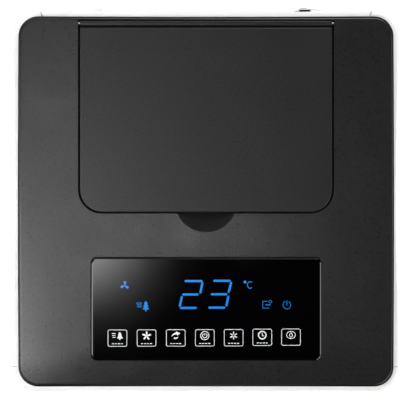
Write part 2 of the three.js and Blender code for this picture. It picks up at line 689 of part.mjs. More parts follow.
function makeFilterFrame() {
  const grilleHalf = filterHalf - filter.border;
  const grilleBottom = filterBottom + filter.border;
  let frame = cut(
    box(-filterHalf, filterHalf, filterFront, rearY, filterBottom, filterTop),
    box(-grilleHalf, grilleHalf, filterFront - overrun, rearY + overrun, grilleBottom, grilleTop),
    box(
      -grilleHalf, grilleHalf, filterFront - overrun, rearY - filter.skin,
      grilleTop + filter.rib, filterTop - filter.rib,
    ),
  );
  const pitch = (grilleTop - grilleBottom) / filter.slats;
  for (let i = 0; i < filter.slats; i += 1) {
    const slat = new THREE.BoxGeometry(grilleHalf * 2 + overrun, filter.slatChord, filter.slatThickness);
    slat.rotateX(radians(-filter.slatTilt));
    slat.translate(0, (filterFront + rearY) / 2, grilleBottom + pitch * (i + 0.5));
    frame = frame.add(solidOf(slat));
  }
  for (const x of [-filter.mullionOffset, filter.mullionOffset]) {
    const half = filter.mullion / 2;
    const top = grilleTop + filter.rib;
    frame = frame.add(box(x - half, x + half, filterFront, rearY - half, filterBottom, top));
  }
  const tabTop = filterTop - tab.drop;
  for (const side of [-1, 1]) {
    const wedge = outline([
      [side * tabOuter, rearY - filter.skin / 2], [side * tabOuter, rearY],
      [side * tabInner, rearY + tab.reach], [side * tabInner, rearY - filter.skin / 2],
    ]);
    frame = frame.add(plate(wedge, tabTop - tab.height, tabTop));
  }
  return frame;
}
add('filter_frame', makeFilterFrame(), whiteShell);

// Outlet frame: an open tunnel behind the front wall that holds louvres and vanes
const innerHalf = outletHalf - outlet.wall;
const tunnelBottom = outletBottom + outlet.wall;
const tunnelTop = outletTop - outlet.wall;
const louvrePitch = (tunnelTop - tunnelBottom) / louvre.count;
const louvreZ = (i) => tunnelBottom + louvrePitch * (i + 0.5);
const vanePitch = (innerHalf * 2) / vane.count;
const vaneX = (i) => -innerHalf + vanePitch * (i + 0.5);
const pinHole = (radius) => radius + clearance;
function makeOutletFrame() {
  const behindWall = frontY + wall + clearance;
  let frame = cut(
    join(
      box(-outletHalf, outletHalf, frontY, outletRear, outletBottom, outletTop),
      box(
        -outletHalf - outlet.flange, outletHalf + outlet.flange,
        behindWall, behindWall + outlet.flangeThickness,
        outletBottom - outlet.flange, outletTop + outlet.flange,
      ),
    ),
    box(-innerHalf, innerHalf, frontY - overrun, outletRear + overrun, tunnelBottom, tunnelTop),
  );
  for (let i = 0; i < louvre.count; i += 1) {
    const reach = outletHalf + overrun;
    frame = frame.subtract(rod('x', [louvreY, louvreZ(i)], pinHole(louvre.pinRadius), -reach, reach, 8));
  }
  for (let i = 0; i < vane.count; i += 1) {
    const [low, high] = [outletBottom - overrun, outletTop + overrun];
    frame = frame.subtract(rod('z', [vaneX(i), vaneY], pinHole(vane.pinRadius), low, high, 8));
  }
  return frame;
}
add('outlet_frame', makeOutletFrame(), blackDeck);

// Louvres: flat blades on end pins, each with a crank pin for the shared link bar
const bladeHalf = innerHalf - louvre.tipGap;
const linkX = bladeHalf + link.sideGap;
function bladePoints(along, across, chord, thickness) {
  const shape = new THREE.Shape();
  shape.moveTo(along - chord / 2, across);
  shape.quadraticCurveTo(along, across - thickness, along + chord / 2, across);
  shape.quadraticCurveTo(along, across + thickness, along - chord / 2, across);
  return shape.getPoints(bladeSteps).slice(0, -1);
}
for (let i = 0; i < louvre.count; i += 1) {
  const z = louvreZ(i);
  const pinReach = outletHalf - louvre.pinEnd;
  const crankY = louvreY + louvre.crank;
  const section = bladePoints(louvreY, z, louvre.chord, louvre.thickness);
  add(`louvre_${i + 1}`, join(
    profileX(outline(section.map((p) => [p.x, p.y])), -bladeHalf, bladeHalf),
    rod('x', [louvreY, z], louvre.pinRadius, -pinReach, pinReach, 8),
    rod('x', [crankY, z], louvre.crankRadius, bladeHalf - overrun, linkX + link.thickness, 8),
  ), blackDeck);
}
function makeLouvreLink() {
  const crankY = louvreY + louvre.crank;
  const half = link.width / 2;
  let bar = box(
    linkX, linkX + link.thickness, crankY - half, crankY + half,
    louvreZ(0) - link.end, louvreZ(louvre.count - 1) + link.end,
  );
  for (let i = 0; i < louvre.count; i += 1) {
    const bore = louvre.crankRadius + link.bore;
    const end = linkX + link.thickness + overrun;
    bar = bar.subtract(rod('x', [crankY, louvreZ(i)], bore, linkX - overrun, end, 8));
  }
  return bar;
}
add('louvre_link', makeLouvreLink(), greyPlastic);

// Vanes: upright blades behind the louvres, linked below, the middle one driven by the swing motor
const vaneBottom = tunnelBottom + vane.floorGap;
const vaneTop = tunnelTop - vane.topGap;
const vaneLinkBottom = tunnelBottom + (vane.floorGap - link.thickness) / 2;
const drivenVane = (vane.count - 1) / 2;
for (let i = 0; i < vane.count; i += 1) {
  const x = vaneX(i);
  const pinBottom = i === drivenVane ? outletBottom - vane.drive : outletBottom + vane.pinEnd;
  const section = bladePoints(vaneY, x, vane.chord, vane.thickness);
  add(`vane_${i + 1}`, join(
    plate(outline(section.map((p) => [p.y, p.x])), vaneBottom, vaneTop),
    rod('z', [x, vaneY], vane.pinRadius, pinBottom, outletTop - vane.pinEnd, 8),
    rod('z', [x, vaneY + vane.crank], vane.crankRadius, tunnelBottom + vane.pinEnd, vaneBottom + overrun, 8),
  ), blackDeck);
}
function makeVaneLink() {
  const crankY = vaneY + vane.crank;
  const half = link.width / 2;
  let bar = box(
    vaneX(0) - link.end, vaneX(vane.count - 1) + link.end, crankY - half, crankY + half,
    vaneLinkBottom, vaneLinkBottom + link.thickness,
  );
  for (let i = 0; i < vane.count; i += 1) {
    const bore = vane.crankRadius + link.bore;
    bar = bar.subtract(rod('z', [vaneX(i), crankY], bore, tunnelBottom, vaneBottom, 8));
  }
  return bar;
}
add('vane_link', makeVaneLink(), greyPlastic);

// Swing motor: hangs under the outlet frame on the driven vane's axis
const swingX = vaneX(drivenVane);
const swingTop = outletBottom - clearance;
add('swing_motor', cut(
  join(
    rod('z', [swingX, vaneY], swing.radius, swingTop - swing.height, swingTop),
    box(
      swingX - swing.radius - swing.ear, swingX + swing.radius + swing.ear,
      vaneY - swing.ear / 2, vaneY + swing.ear / 2, swingTop - swing.earThickness, swingTop,
    ),
  ),
  rod('z', [swingX, vaneY], pinHole(vane.pinRadius), swingTop - vane.drive - overrun, swingTop + overrun),
), steel);

// Blower scroll: a volute that winds up into the tunnel behind the outlet
const scrollStart = outletHalf - scroll.growth;
const wheelRadius = scrollStart - wheel.gap;
const inletRadius = wheelRadius - scrollCover.inletInset;
const lowShare = (270 - scroll.tongueTurn) / (360 - scroll.tongueTurn);
const fanZ = shelfTop + scroll.foot + scrollStart + scroll.growth * lowShare;
function scrollOutline(inset) {
  const points = [];
  for (let i = 0; i <= scroll.steps; i += 1) {
    const share = i / scroll.steps;
    const angle = radians(scroll.tongueTurn + (360 - scroll.tongueTurn) * share);
    const radius = scrollStart + scroll.growth * share - inset;
    points.push([radius * Math.cos(angle), fanZ + radius * Math.sin(angle)]);
  }
  points.push([outletHalf - inset, outletTop - inset], [inset - outletHalf, outletTop - inset]);
  points.push([inset - outletHalf, outletBottom]);
  return outline(points);
}
function makeScroll() {
  const footHalf = scroll.footWidth / 2;
  const footFront = outletRear + scroll.depth * scroll.footEndShare;
  const footRear = scrollRear - scroll.depth * scroll.footEndShare;
  const footTop = fanZ - scrollStart * scroll.footTopShare;
  const foot = (x) => box(x - footHalf, x + footHalf, footFront, footRear, shelfTop, footTop);
  const front = outletRear + scroll.wall;
  return cut(
    join(
      profileY(scrollOutline(0), outletRear, scrollRear),
      foot(-scrollStart / 2),
      foot(scrollStart / 2),
    ),
    profileY(scrollOutline(scroll.wall), front, scrollRear + overrun),
    box(-innerHalf, innerHalf, outletRear - overrun, front + overrun, tunnelBottom, tunnelTop),
    rod('y', [0, fanZ], motor.bossRadius + clearance, outletRear - overrun, front + overrun),
  );
}
add('blower_scroll', makeScroll(), greyPlastic);

function makeScrollCover() {
  const back = scrollRear + scrollCover.thickness;
  const mouth = [0, fanZ];
  const bar = scrollCover.guardBar;
  const reach = inletRadius + scrollCover.lip / 2;
  return join(
    cut(
      profileY(scrollOutline(0), scrollRear, back),
      rod('y', mouth, inletRadius, scrollRear - overrun, back + overrun, scrollCover.sides),
    ),
    ring(
      'y', mouth, inletRadius + scrollCover.lip, inletRadius, back - bar / 2,
      back + scrollCover.lipHeight, scrollCover.sides,
    ),
    ring('y', mouth, scrollCover.guardRing + bar, scrollCover.guardRing, scrollRear, back),
    rod('y', mouth, scrollCover.hub, scrollRear, back),
    box(-reach, reach, scrollRear, back, fanZ - bar / 2, fanZ + bar / 2),
    box(-bar / 2, bar / 2, scrollRear, back, fanZ - reach, fanZ + reach),
  );
}
add('scroll_cover', makeScrollCover(), greyPlastic);

// Fan motor: flange-mounted on the scroll's front wall, its shaft goes into the wheel's hub
const wheelFront = outletRear + wheel.start;
const wheelDepth = scroll.depth - wheel.start - wheel.rearGap;
const wheelRear = wheelFront + wheelDepth;
add('fan_motor', join(
  rod('y', [0, fanZ], motor.radius, outletRear - motor.length, outletRear - motor.flange, motor.sides),
  rod(
    'y', [0, fanZ], motor.flangeRadius, outletRear - motor.flange - clearance, outletRear - clearance,
    motor.sides,
  ),
  rod('y', [0, fanZ], motor.bossRadius, outletRear - motor.flange, outletRear + motor.boss),
  rod('y', [0, fanZ], motor.shaftRadius, outletRear, wheelFront + wheel.hubLength - overrun, 12),
), steel);

function makeWheel() {
  const axis = [0, fanZ];
  return cut(
    join(
      rod('y', axis, wheelRadius, wheelFront, wheelFront + wheel.disc, wheel.blades),
      rod('y', axis, wheel.hubRadius, wheelFront, wheelFront + wheel.hubLength),
    ),
    rod('y', axis, motor.shaftRadius + clearance, wheelFront - overrun, far, 12),
  );
}
add('blower_wheel', makeWheel(), darkPlastic);

// Blower cage: the blades stand on the wheel's disc and end in a ring on the inlet side
function makeCage() {
  const inner = wheelRadius - wheel.blade;
  const bladeLength = wheelDepth - wheel.disc;
  let cage = ring('y', [0, fanZ], wheelRadius, inner, wheelRear - wheel.ring, wheelRear, wheel.blades);
  for (let i = 0; i < wheel.blades; i += 1) {
    const blade = new THREE.BoxGeometry(wheel.bladeThickness, bladeLength, wheel.blade * wheel.bladeShare);
    blade.rotateY(radians(wheel.bladeTilt));
    blade.translate(0, wheelRear - bladeLength / 2, (wheelRadius + inner) / 2);
    blade.rotateY((Math.PI * 2 * i) / wheel.blades).translate(0, 0, fanZ);
    cage = cage.add(solidOf(blade));
  }
  return cage;
}
add('blower_cage', makeCage(), darkPlastic);

// Top deck: a skinned plate with the lid's opening, hinge channel, finger notch and glass pocket
const deckHalf = halfWidth - deck.rimSide;
const deckFront = frontY + deck.rimFront;
const deckRear = rearY - deck.rimRear;
const deckTop = overallHeight;
const skinBottom = deckTop - deck.skin;
const hingeY = deckRear - hinge.edge - hinge.channel / 2;
const barrelRadius = hinge.channel / 2 - hinge.barrelGap;
const hingeZ = deckTop - hinge.sink - barrelRadius;
const channelFloor = hingeZ - barrelRadius - hinge.floorGap;
const channelFront = deckRear - hingeStrip;
const lidRear = channelFront - hinge.gapToLid;
const lidHalf = deckHalf - lid.sideMargin;
const lidBottom = deckTop - lid.thickness;
const glassFrontY = deckFront + glass.frontMargin;
const glassRearY = glassFrontY + glass.depth;
const lidFront = glassRearY + lid.fromGlass;
const mouthHalf = lidHalf + lid.gap - lid.ledge;
const mouthFront = lidFront - lid.gap + lid.ledge;
const mouthRear = channelFront - lid.ledge;
const glassBottom = deckTop + glass.proud - glass.thickness;
const glassHalf = deckHalf - glass.sideMargin;
const boardHalf = glassHalf - board.sideInset;
const boardFront = glassFrontY + board.endInset;
const boardRear = glassRearY - board.endInset;
const boardTop = glassBottom - clearance - display.thickness;
const boardBottom = boardTop - board.thickness;
const openingSides = lidHalf + lid.gap;
function makeDeck() {
  const deckPlan = (inset) => roundedRectangle(
    -deckHalf + inset, deckHalf - inset, deckFront + inset, deckRear - inset, deck.cornerRadius - inset,
  );
  const around = (grow, z0, z1) => plate(roundedRectangle(
    -glassHalf - grow, glassHalf + grow, glassFrontY - grow, glassRearY + grow, glass.radius + grow,
  ), z0, z1);
  const boardHole = (inset, z0, z1) => box(
    inset - boardHalf, boardHalf - inset, boardFront + inset, boardRear - inset, z0, z1,
  );
  const notchY = lidFront + notch.backFromLidFront;
  const notchFloor = deckTop - notch.depth;
  const ballRadius = (notch.radius ** 2 + notch.depth ** 2) / (2 * notch.depth);
  const bowlPoints = [];
  for (let i = 0; i <= curveSteps; i += 1) {
    const r = (notch.radius * i) / curveSteps;
    bowlPoints.push(new THREE.Vector2(r, notchFloor + ballRadius - Math.sqrt(ballRadius ** 2 - r ** 2)));
  }
  for (const r of [notch.radius, 0]) bowlPoints.push(new THREE.Vector2(r, deckTop + overrun));
  const bowl = new THREE.LatheGeometry(bowlPoints, notch.sides).rotateX(Math.PI / 2).translate(0, notchY, 0);
  const frontOf = (y) => box(-far, far, -far, y, 0, overallHeight + deck.height);
  const block = rod(
    'z', [0, notchY], notch.radius + notch.blockWall,
    notchFloor - notch.blockFloor, skinBottom + deck.skin / 2, notch.sides,
  ).intersect(frontOf(mouthFront - clearance));
  const rodEnd = openingSides + hinge.rodGrip;
  return cut(
    join(
      plate(deckPlan(0), skinBottom, deckTop, 8),
      cut(
        plate(deckPlan(0), shellTop, skinBottom + deck.skin / 2, 8),
        plate(deckPlan(deck.skirt), 0, skinBottom, 8),
      ),
      box(
        -openingSides - hinge.endWall, openingSides + hinge.endWall, lidFront - lid.gap - hinge.endWall,
        deckRear - hinge.edge / 2, shellTop, skinBottom + deck.skin / 2,
      ),
      around(glass.frame, shellTop, skinBottom + deck.skin / 2),
      block,
    ),
    plate(
      roundedRectangle(
        -openingSides, openingSides, lidFront - lid.gap, channelFront + overrun, lid.frontRadius, 0,
      ),
      lidBottom - clearance, deckTop + overrun, 8,
    ),
    box(
      -openingSides, openingSides, channelFront, deckRear - hinge.edge,
      channelFloor, deckTop + overrun,
    ),
    box(-mouthHalf, mouthHalf, mouthFront, mouthRear, 0, deckTop + overrun),
    rod('x', [hingeY, hingeZ], hinge.bore, -rodEnd, rodEnd, 12),
    solidOf(bowl).intersect(frontOf(mouthFront - notch.rearWall)),
    around(seamGap, glassBottom, deckTop + overrun),
    boardHole(-clearance, boardBottom, deckTop + overrun),
    boardHole(board.lip, 0, deckTop),
  );
}
add('top_deck', makeDeck(), blackDeck);

// Fill lid: a flush plate with a hinge barrel along its rear edge, and the rod it turns on
add('fill_lid', cut(
  join(
    plate(roundedRectangle(-lidHalf, lidHalf, lidFront, lidRear, lid.frontRadius, 0), lidBottom, deckTop, 8),
    box(-lidHalf, lidHalf, lidRear - overrun, hingeY, lidBottom, hingeZ + hinge.webRise),
    rod('x', [hingeY, hingeZ], barrelRadius, -lidHalf, lidHalf, 20),
  ),
  rod('x', [hingeY, hingeZ], hinge.bore, -far, far, 12),
), blackDeck);
const rodHalf = openingSides + hinge.rodGrip - clearance;
add('lid_hinge_rod', rod('x', [hingeY, hingeZ], hinge.rodRadius, -rodHalf, rodHalf, 12), steel);

// Control panel: glass over the display module and board, with the sealed control box hung below
add('control_glass', plate(roundedRectangle(
  -glassHalf, glassHalf, glassFrontY, glassRearY, glass.radius,
), glassBottom, glassBottom + glass.thickness), blackGloss);
add('display_board', box(-boardHalf, boardHalf, boardFront, boardRear, boardBottom, boardTop), circuit);
const displayHalf = boardHalf - display.sideInset;
const displayRear = glassRearY - display.rearMargin;
add('display_module', box(
  -displayHalf, displayHalf, displayRear - display.depth, displayRear, boardTop, boardTop + display.thickness,
), blueGlow);
function makeControlBox() {
  const half = boardHalf - controlBox.sideInset;
  const front = boardFront + controlBox.endInset;
  const rear = boardRear - controlBox.endInset;
  const skin = controlBox.wall;
  return cut(
    join(
      box(-half, half, front, rear, shellTop - controlBox.height, shellTop),
      box(-half, half, boardFront, boardRear, shellTop - skin, shellTop),
    ),
    box(
      -half + skin, half - skin, front + skin, rear - skin,
      shellTop - controlBox.height + skin, shellTop + overrun,
    ),
  );
}
add('control_box', makeControlBox(), darkPlastic);

// Ice and fill tray: a basin under the lid with a flange below the deck and a spout into the trough
function makeIceTray() {
  const flangeBottom = shellTop - tray.wall;
  const spoutY = troughFront + tray.drainInTrough;
  return cut(
    join(
      box(-mouthHalf, mouthHalf, mouthFront, mouthRear, trayBottom, shellTop),
      box(
        -mouthHalf - tray.flange, mouthHalf + tray.flange, mouthFront, mouthRear + tray.flange,
        flangeBottom, shellTop,
      ),
      rod('z', [0, spoutY], tray.drainBore + tray.drainWall, trayBottom - tray.spout, trayBottom + tray.wall),
    ),
    box(
      -mouthHalf + tray.wall, mouthHalf - tray.wall, mouthFront + tray.wall, mouthRear - tray.wall,
      trayBottom + tray.wall, shellTop + overrun,
    ),
    rod('z', [0, spoutY], tray.drainBore, 0, trayBottom + tray.wall + overrun),
  );
}
add('ice_tray', makeIceTray(), greyPlastic);

export default cooler;
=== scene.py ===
# A portable evaporative cooler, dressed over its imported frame: metres, +Z up, the front faces -Y
import json
import math
from contextlib import contextmanager
import bmesh
import bpy
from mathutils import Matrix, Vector

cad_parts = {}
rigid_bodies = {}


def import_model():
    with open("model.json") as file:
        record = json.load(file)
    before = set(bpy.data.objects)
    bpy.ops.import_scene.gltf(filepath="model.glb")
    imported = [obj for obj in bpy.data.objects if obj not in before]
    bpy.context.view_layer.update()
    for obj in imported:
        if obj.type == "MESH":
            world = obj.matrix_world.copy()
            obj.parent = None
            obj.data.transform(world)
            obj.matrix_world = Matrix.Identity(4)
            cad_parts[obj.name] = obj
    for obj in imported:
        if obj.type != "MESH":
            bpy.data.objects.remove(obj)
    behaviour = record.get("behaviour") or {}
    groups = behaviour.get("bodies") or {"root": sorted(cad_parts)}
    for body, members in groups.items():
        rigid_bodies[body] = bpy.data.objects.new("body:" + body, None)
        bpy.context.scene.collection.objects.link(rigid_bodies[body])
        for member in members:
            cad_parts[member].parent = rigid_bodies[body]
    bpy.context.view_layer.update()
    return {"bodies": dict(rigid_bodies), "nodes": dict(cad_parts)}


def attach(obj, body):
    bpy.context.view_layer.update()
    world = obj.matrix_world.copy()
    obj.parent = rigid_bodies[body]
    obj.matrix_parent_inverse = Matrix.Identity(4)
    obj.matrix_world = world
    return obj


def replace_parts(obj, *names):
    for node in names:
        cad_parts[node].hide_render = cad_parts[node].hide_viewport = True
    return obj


for leftover in list(bpy.data.objects):
    bpy.data.objects.remove(leftover, do_unlink=True)
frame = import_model()
nodes = frame["nodes"]
scene = bpy.context.scene
mm = 0.001
print("frame loaded:", len(nodes), "nodes")


def linear(hexColour):
    channels = [int(hexColour[i:i + 2], 16) / 255 for i in (1, 3, 5)]
    return [c / 12.92 if c <= 0.04045 else ((c + 0.055) / 1.055) ** 2.4 for c in channels] + [1]


def join(tree, node, links):
    # a link comes from a socket, or from the first output of a node
    for name, source in links.items():
        output = source.outputs[0] if isinstance(source, bpy.types.Node) else source
        tree.links.new(output, node.inputs[name])


def addNode(tree, kind, settings=None, links=None):
    node = tree.nodes.new(kind)
    for name, value in (settings or {}).items():
        if isinstance(name, int) or name in node.inputs:
            node.inputs[name].default_value = value
        else:
            setattr(node, name, value)
    join(tree, node, links or {})
    return node


def emptyTree(owner):
    owner.use_nodes = True
    owner.node_tree.nodes.clear()
    return owner.node_tree


# Camera: straight above the deck, as the photograph was taken
viewFrom = {"x": -5.1, "y": -1.75, "height": 2733, "lens": 210.8, "sensor": 36, "reach": 60}


def makeCamera():
    data = bpy.data.cameras.new("overhead")
    data.lens = viewFrom["lens"]
    data.sensor_width = viewFrom["sensor"]
    data.clip_end = viewFrom["reach"]
    camera = bpy.data.objects.new("overhead", data)
    camera.location = [viewFrom[key] * mm for key in ("x", "y", "height")]
    scene.collection.objects.link(camera)
    scene.camera = camera


makeCamera()
scene.view_settings.view_transform = "Standard"

# Studio: soft lamps round the cooler, strongest at the front right, one high at the left and one high at
# the rear, low fill at the front and left, and three narrow strips far above that only the deck and the lid
# mirror beside the glass. A pale horizon, darker in front, and a dark zenith with one small soft patch that
# gives the glass its sheen
studio = {
    "horizon": 0.95, "frontHorizon": 0.3, "frontToRear": (-0.75, 0.25), "zenith": 0.0, "riseShare": 0.42,
    "floorSize": 9.0, "floorGlow": 0.78, "floorLit": 0.42, "paper": "#e9e9e9",
    "patch": {"towards": (-0.0512, -0.0149, 1.0), "strength": 7.9, "sharpness": 4500},
}
aims = {"deck": (0, 0, 0.74), "sides": (0, 0, 0.4)}
lamps = {  # place and size in metres, power in watts, and the aim: straight down where none is named
    "highLeft": ((-0.494, -0.18, 2.04), (0.42, 0.42), 7.2, "deck"),
    "nearLeft": ((-0.354, -0.257, 1.44), (0.26, 0.26), 0.55, "deck"),
    "highRear": ((0.45, 1.3, 2.14), (0.9, 0.9), 13.7, "deck"),
    "frontRight": ((1.22, -1.46, 1.84), (1.6, 1.6), 22.0, "deck"),
    "rightFront": ((1.65, -0.95, 1.84), (1.2, 1.2), 8.0, "deck"),
    "right": ((1.905, 0, 1.84), (0.7, 0.7), 7.4, "deck"),
    "rear": ((0, 1.905, 1.84), (0.7, 0.7), 7.0, "deck"),
    "rearLeft": ((-0.95, 1.65, 1.84), (1.1, 1.1), 10.5, "deck"),
    "left": ((-1.9, -0.09, 1.84), (0.7, 0.7), 10.2, "deck"),
    "lowFront": ((-0.5, -3.0, 1.1), (1.6, 1.6), 7.7, "sides"),
    "lowLeft": ((-3.0, -0.4, 1.1), (1.6, 1.6), 3.5, "sides"),
    "bandStrip": ((-0.036, -0.089, 6), (0.43, 0.05), 1.7, None),
    "leftStrip": ((-0.455, -0.25, 6), (0.186, 0.4), 1.1, None),
    "rearLeftStrip": ((-0.486, 0.33, 6), (0.124, 0.45), 1.5, None),
}


def makeLamp(name, place, size, power, aim):
    data = bpy.data.lights.new(name, "AREA")
    data.shape = "RECTANGLE"
    data.size, data.size_y = size
    data.energy = power
    lamp = bpy.data.objects.new(name, data)
    lamp.location = place
    target = Vector(aims[aim] if aim else (place[0], place[1], 0))
    lamp.rotation_euler = (target - Vector(place)).to_track_quat("-Z", "Y").to_euler()
    lamp.visible_camera = False
    scene.collection.objects.link(lamp)


def makeWorld():
    world = bpy.data.worlds.new("studio")
    scene.world = world
    tree = emptyTree(world)
    direction = addNode(tree, "ShaderNodeTexCoord").outputs["Generated"]
    parts = addNode(tree, "ShaderNodeSeparateXYZ", links={"Vector": direction})
    front, rear = studio["frontToRear"]
    horizon = addNode(tree, "ShaderNodeMapRange", {
        "From Min": front, "From Max": rear, "To Min": studio["frontHorizon"], "To Max": studio["horizon"],
    }, {"Value": parts.outputs["Y"]})
    rise = addNode(tree, "ShaderNodeMapRange", {
        "From Min": 0.0, "From Max": studio["riseShare"], "To Max": studio["zenith"],
    }, {"Value": parts.outputs["Z"], "To Min": horizon})
    patch = studio["patch"]
    nearness = addNode(tree, "ShaderNodeVectorMath", {
        "operation": "DOT_PRODUCT", 1: Vector(patch["towards"]).normalized(),
    }, {0: direction})
    facing = addNode(tree, "ShaderNodeMath", {"operation": "MAXIMUM", 1: 0.0}, {0: nearness.outputs["Value"]})
    spread = addNode(tree, "ShaderNodeMath", {"operation": "POWER", 1: patch["sharpness"]}, {0: facing})
    lit = addNode(tree, "ShaderNodeMath", {"operation": "MULTIPLY_ADD", 1: patch["strength"]}, {
        0: spread, 2: rise,
    })
    isCamera = addNode(tree, "ShaderNodeLightPath").outputs["Is Camera Ray"]
    strength = addNode(tree, "ShaderNodeMix", {3: 1.0}, {0: isCamera, 2: lit})
    glow = addNode(tree, "ShaderNodeBackground", {"Color": (1, 1, 1, 1)}, {"Strength": strength})
    addNode(tree, "ShaderNodeOutputWorld", links={"Surface": glow})


# Floor: matt white paper sweep, it shows white to the eye and in gloss and keeps the object's shadow
def makeFloor():
    material = bpy.data.materials.new("mattPaperSweep")
    tree = emptyTree(material)
    lit = addNode(tree, "ShaderNodeBsdfDiffuse", {"Color": linear(studio["paper"])})
    halfLit = addNode(tree, "ShaderNodeBsdfDiffuse", {"Color": [studio["floorLit"]] * 3 + [1]})
    glow = addNode(tree, "ShaderNodeEmission", {"Color": (1, 1, 1, 1), "Strength": studio["floorGlow"]})
    shown = addNode(tree, "ShaderNodeAddShader", links={0: halfLit, 1: glow})
    path = addNode(tree, "ShaderNodeLightPath")
    seen = addNode(tree, "ShaderNodeMath", {"operation": "MAXIMUM"}, {
        0: path.outputs["Is Camera Ray"], 1: path.outputs["Is Glossy Ray"],
    })
    seenOrThrough = addNode(tree, "ShaderNodeMath", {"operation": "MAXIMUM"}, {
        0: seen, 1: path.outputs["Is Transmission Ray"],
    })
    mixed = addNode(tree, "ShaderNodeMixShader", links={0: seenOrThrough, 1: lit, 2: shown})
    addNode(tree, "ShaderNodeOutputMaterial", links={"Surface": mixed})
    half = studio["floorSize"]
    mesh = bpy.data.meshes.new("floor")
    corners = [(-half, -half, 0), (half, -half, 0), (half, half, 0), (-half, half, 0)]
    mesh.from_pydata(corners, [], [(0, 1, 2, 3)])
    mesh.materials.append(material)
    floor = bpy.data.objects.new("floor", mesh)
    scene.collection.objects.link(floor)


makeWorld()
makeFloor()
for lampName, plan in lamps.items():
    makeLamp(lampName, *plan)
print("studio ready")


# Materials. Sizes of grain are in millimetres: a texture's scale is the number of grains in a metre
noiseLow, noiseHigh = 0.3, 0.7  # nearly all of a noise texture lies between these
grainLow, grainHigh = 0.35, 0.65  # and most of it between these, for a tint with more contrast


def newMaterial(name, colour, roughness, settings=None):
    material = bpy.data.materials.new(name)
    tree = emptyTree(material)
    shader = addNode(tree, "ShaderNodeBsdfPrincipled", {
        "Base Color": linear(colour), "Roughness": roughness, **(settings or {}),
    })
    addNode(tree, "ShaderNodeOutputMaterial", links={"Surface": shader})
    return material, tree, shader


def perMetre(millimetres):
    return 1000 / millimetres


def addRelief(tree, shader, fine, height, patches=30, spread=0.04, stretch=None):
    # fine grain as bump, and slow patches that lift and lower the roughness as on a real moulding
    place = addNode(tree, "ShaderNodeTexCoord").outputs["Object"]
    if stretch:
        place = addNode(tree, "ShaderNodeMapping", {"Scale": stretch}, {"Vector": place})
    grain = addNode(tree, "ShaderNodeTexNoise", {"Scale": perMetre(fine), "Detail": 3.0}, {"Vector": place})
    bump = addNode(tree, "ShaderNodeBump", {"Strength": 1.0, "Distance": height * mm}, {"Height": grain})
    slow = addNode(tree, "ShaderNodeTexNoise", {"Scale": perMetre(patches), "Detail": 2.0}, {"Vector": place})
    rough = shader.inputs["Roughness"].default_value
    level = addNode(tree, "ShaderNodeMapRange", {
        "From Min": noiseLow, "From Max": noiseHigh, "To Min": rough - spread, "To Max": rough + spread,
    }, {"Value": slow})
    join(tree, shader, {"Normal": bump, "Roughness": level})
    return grain, slow


def addTint(tree, shader, source, darker, lighter, low=noiseLow, high=noiseHigh):
    ramp = addNode(tree, "ShaderNodeValToRGB", links={0: source})
    for end, position, colour in zip(ramp.color_ramp.elements, (low, high), (darker, lighter)):
        end.position = position
        end.color = linear(colour)
    join(tree, shader, {"Base Color": ramp})


def makeFinish(
    name, colour, roughness, fine, height, darker, lighter,
    spread=0.04, patches=30, stretch=None, settings=None,
):
    # a plain finish: fine relief, with slow patches in its gloss and its tint
    material, tree, shader = newMaterial(name, colour, roughness, settings)
    grain, slow = addRelief(tree, shader, fine, height, patches, spread, stretch)
    addTint(tree, shader, slow, darker, lighter)
    return material


def makeGrained(name, colour, roughness, fine, height, darker, lighter, spread, glint, level):
    # a textured black: the same fine grain lifts the surface, its tint and its gloss
    material, tree, shader = newMaterial(name, colour, roughness, {"Specular IOR Level": level})
    grain, slow = addRelief(tree, shader, fine, height, spread=spread)
    addTint(tree, shader, grain, darker, lighter, grainLow, grainHigh)
    smooth = shader.inputs["Roughness"].links[0].from_socket
    offset = addNode(tree, "ShaderNodeMath", {"operation": "SUBTRACT", 1: glint / 2}, {0: smooth})
    rough = addNode(tree, "ShaderNodeMath", {"operation": "MULTIPLY_ADD", 1: glint}, {0: grain, 2: offset})
    join(tree, shader, {"Roughness": rough})
    return material


def makeClear(name, colour, patches, detail, noise, gloss, settings=None):
    # a clear even gloss that wavers a little from place to place
    material, tree, shader = newMaterial(name, colour, gloss[1], settings)
    place = addNode(tree, "ShaderNodeTexCoord").outputs["Object"]
    smear = addNode(tree, "ShaderNodeTexNoise", {"Scale": perMetre(patches), "Detail": detail}, {
        "Vector": place,
    })
    level = addNode(tree, "ShaderNodeMapRange", {
        "From Min": noise[0], "From Max": noise[1], "To Min": gloss[0], "To Max": gloss[1],
    }, {"Value": smear})
    join(tree, shader, {"Roughness": level})
    return material


def makeBoardGreen():
    material, tree, shader = newMaterial("solderMaskGreen", "#1f5f3a", 0.3)
    place = addNode(tree, "ShaderNodeTexCoord").outputs["Object"]
    weave = addNode(tree, "ShaderNodeTexChecker", {
        "Scale": perMetre(1.2), "Color1": linear("#1c5836"), "Color2": linear("#22663f"),
    }, {"Vector": place})
    join(tree, shader, {"Base Color": weave})
    return material


# Each is given by its name, colour, roughness, grain size and height, darker and lighter tint, and the reach
# of its gloss. White ABS, injection moulded and fine satin: soft even sheen with a faint orange peel
whiteAbs = makeFinish("satinWhiteAbs", "#f3f3f2", 0.36, 0.9, 0.004, "#f1f1f0", "#f5f5f4")
# Charcoal ABS from a spark-eroded tool: a dense fine grain breaks the gloss into a soft haze
charcoalAbs = makeGrained(
    "sparkGrainCharcoalAbs", "#1c1c1c", 0.17, 1.9, 0.03, "#1a1a1a", "#1f1f1f", 0.02, 0.03, 0.38,
)
# Black ABS lid, the same grain a little finer and darker
lidAbs = makeGrained(
    "sparkGrainBlackAbs", "#101010", 0.32, 1.8, 0.05, "#060606", "#181818", 0.032, 0.02, 0.43,
)
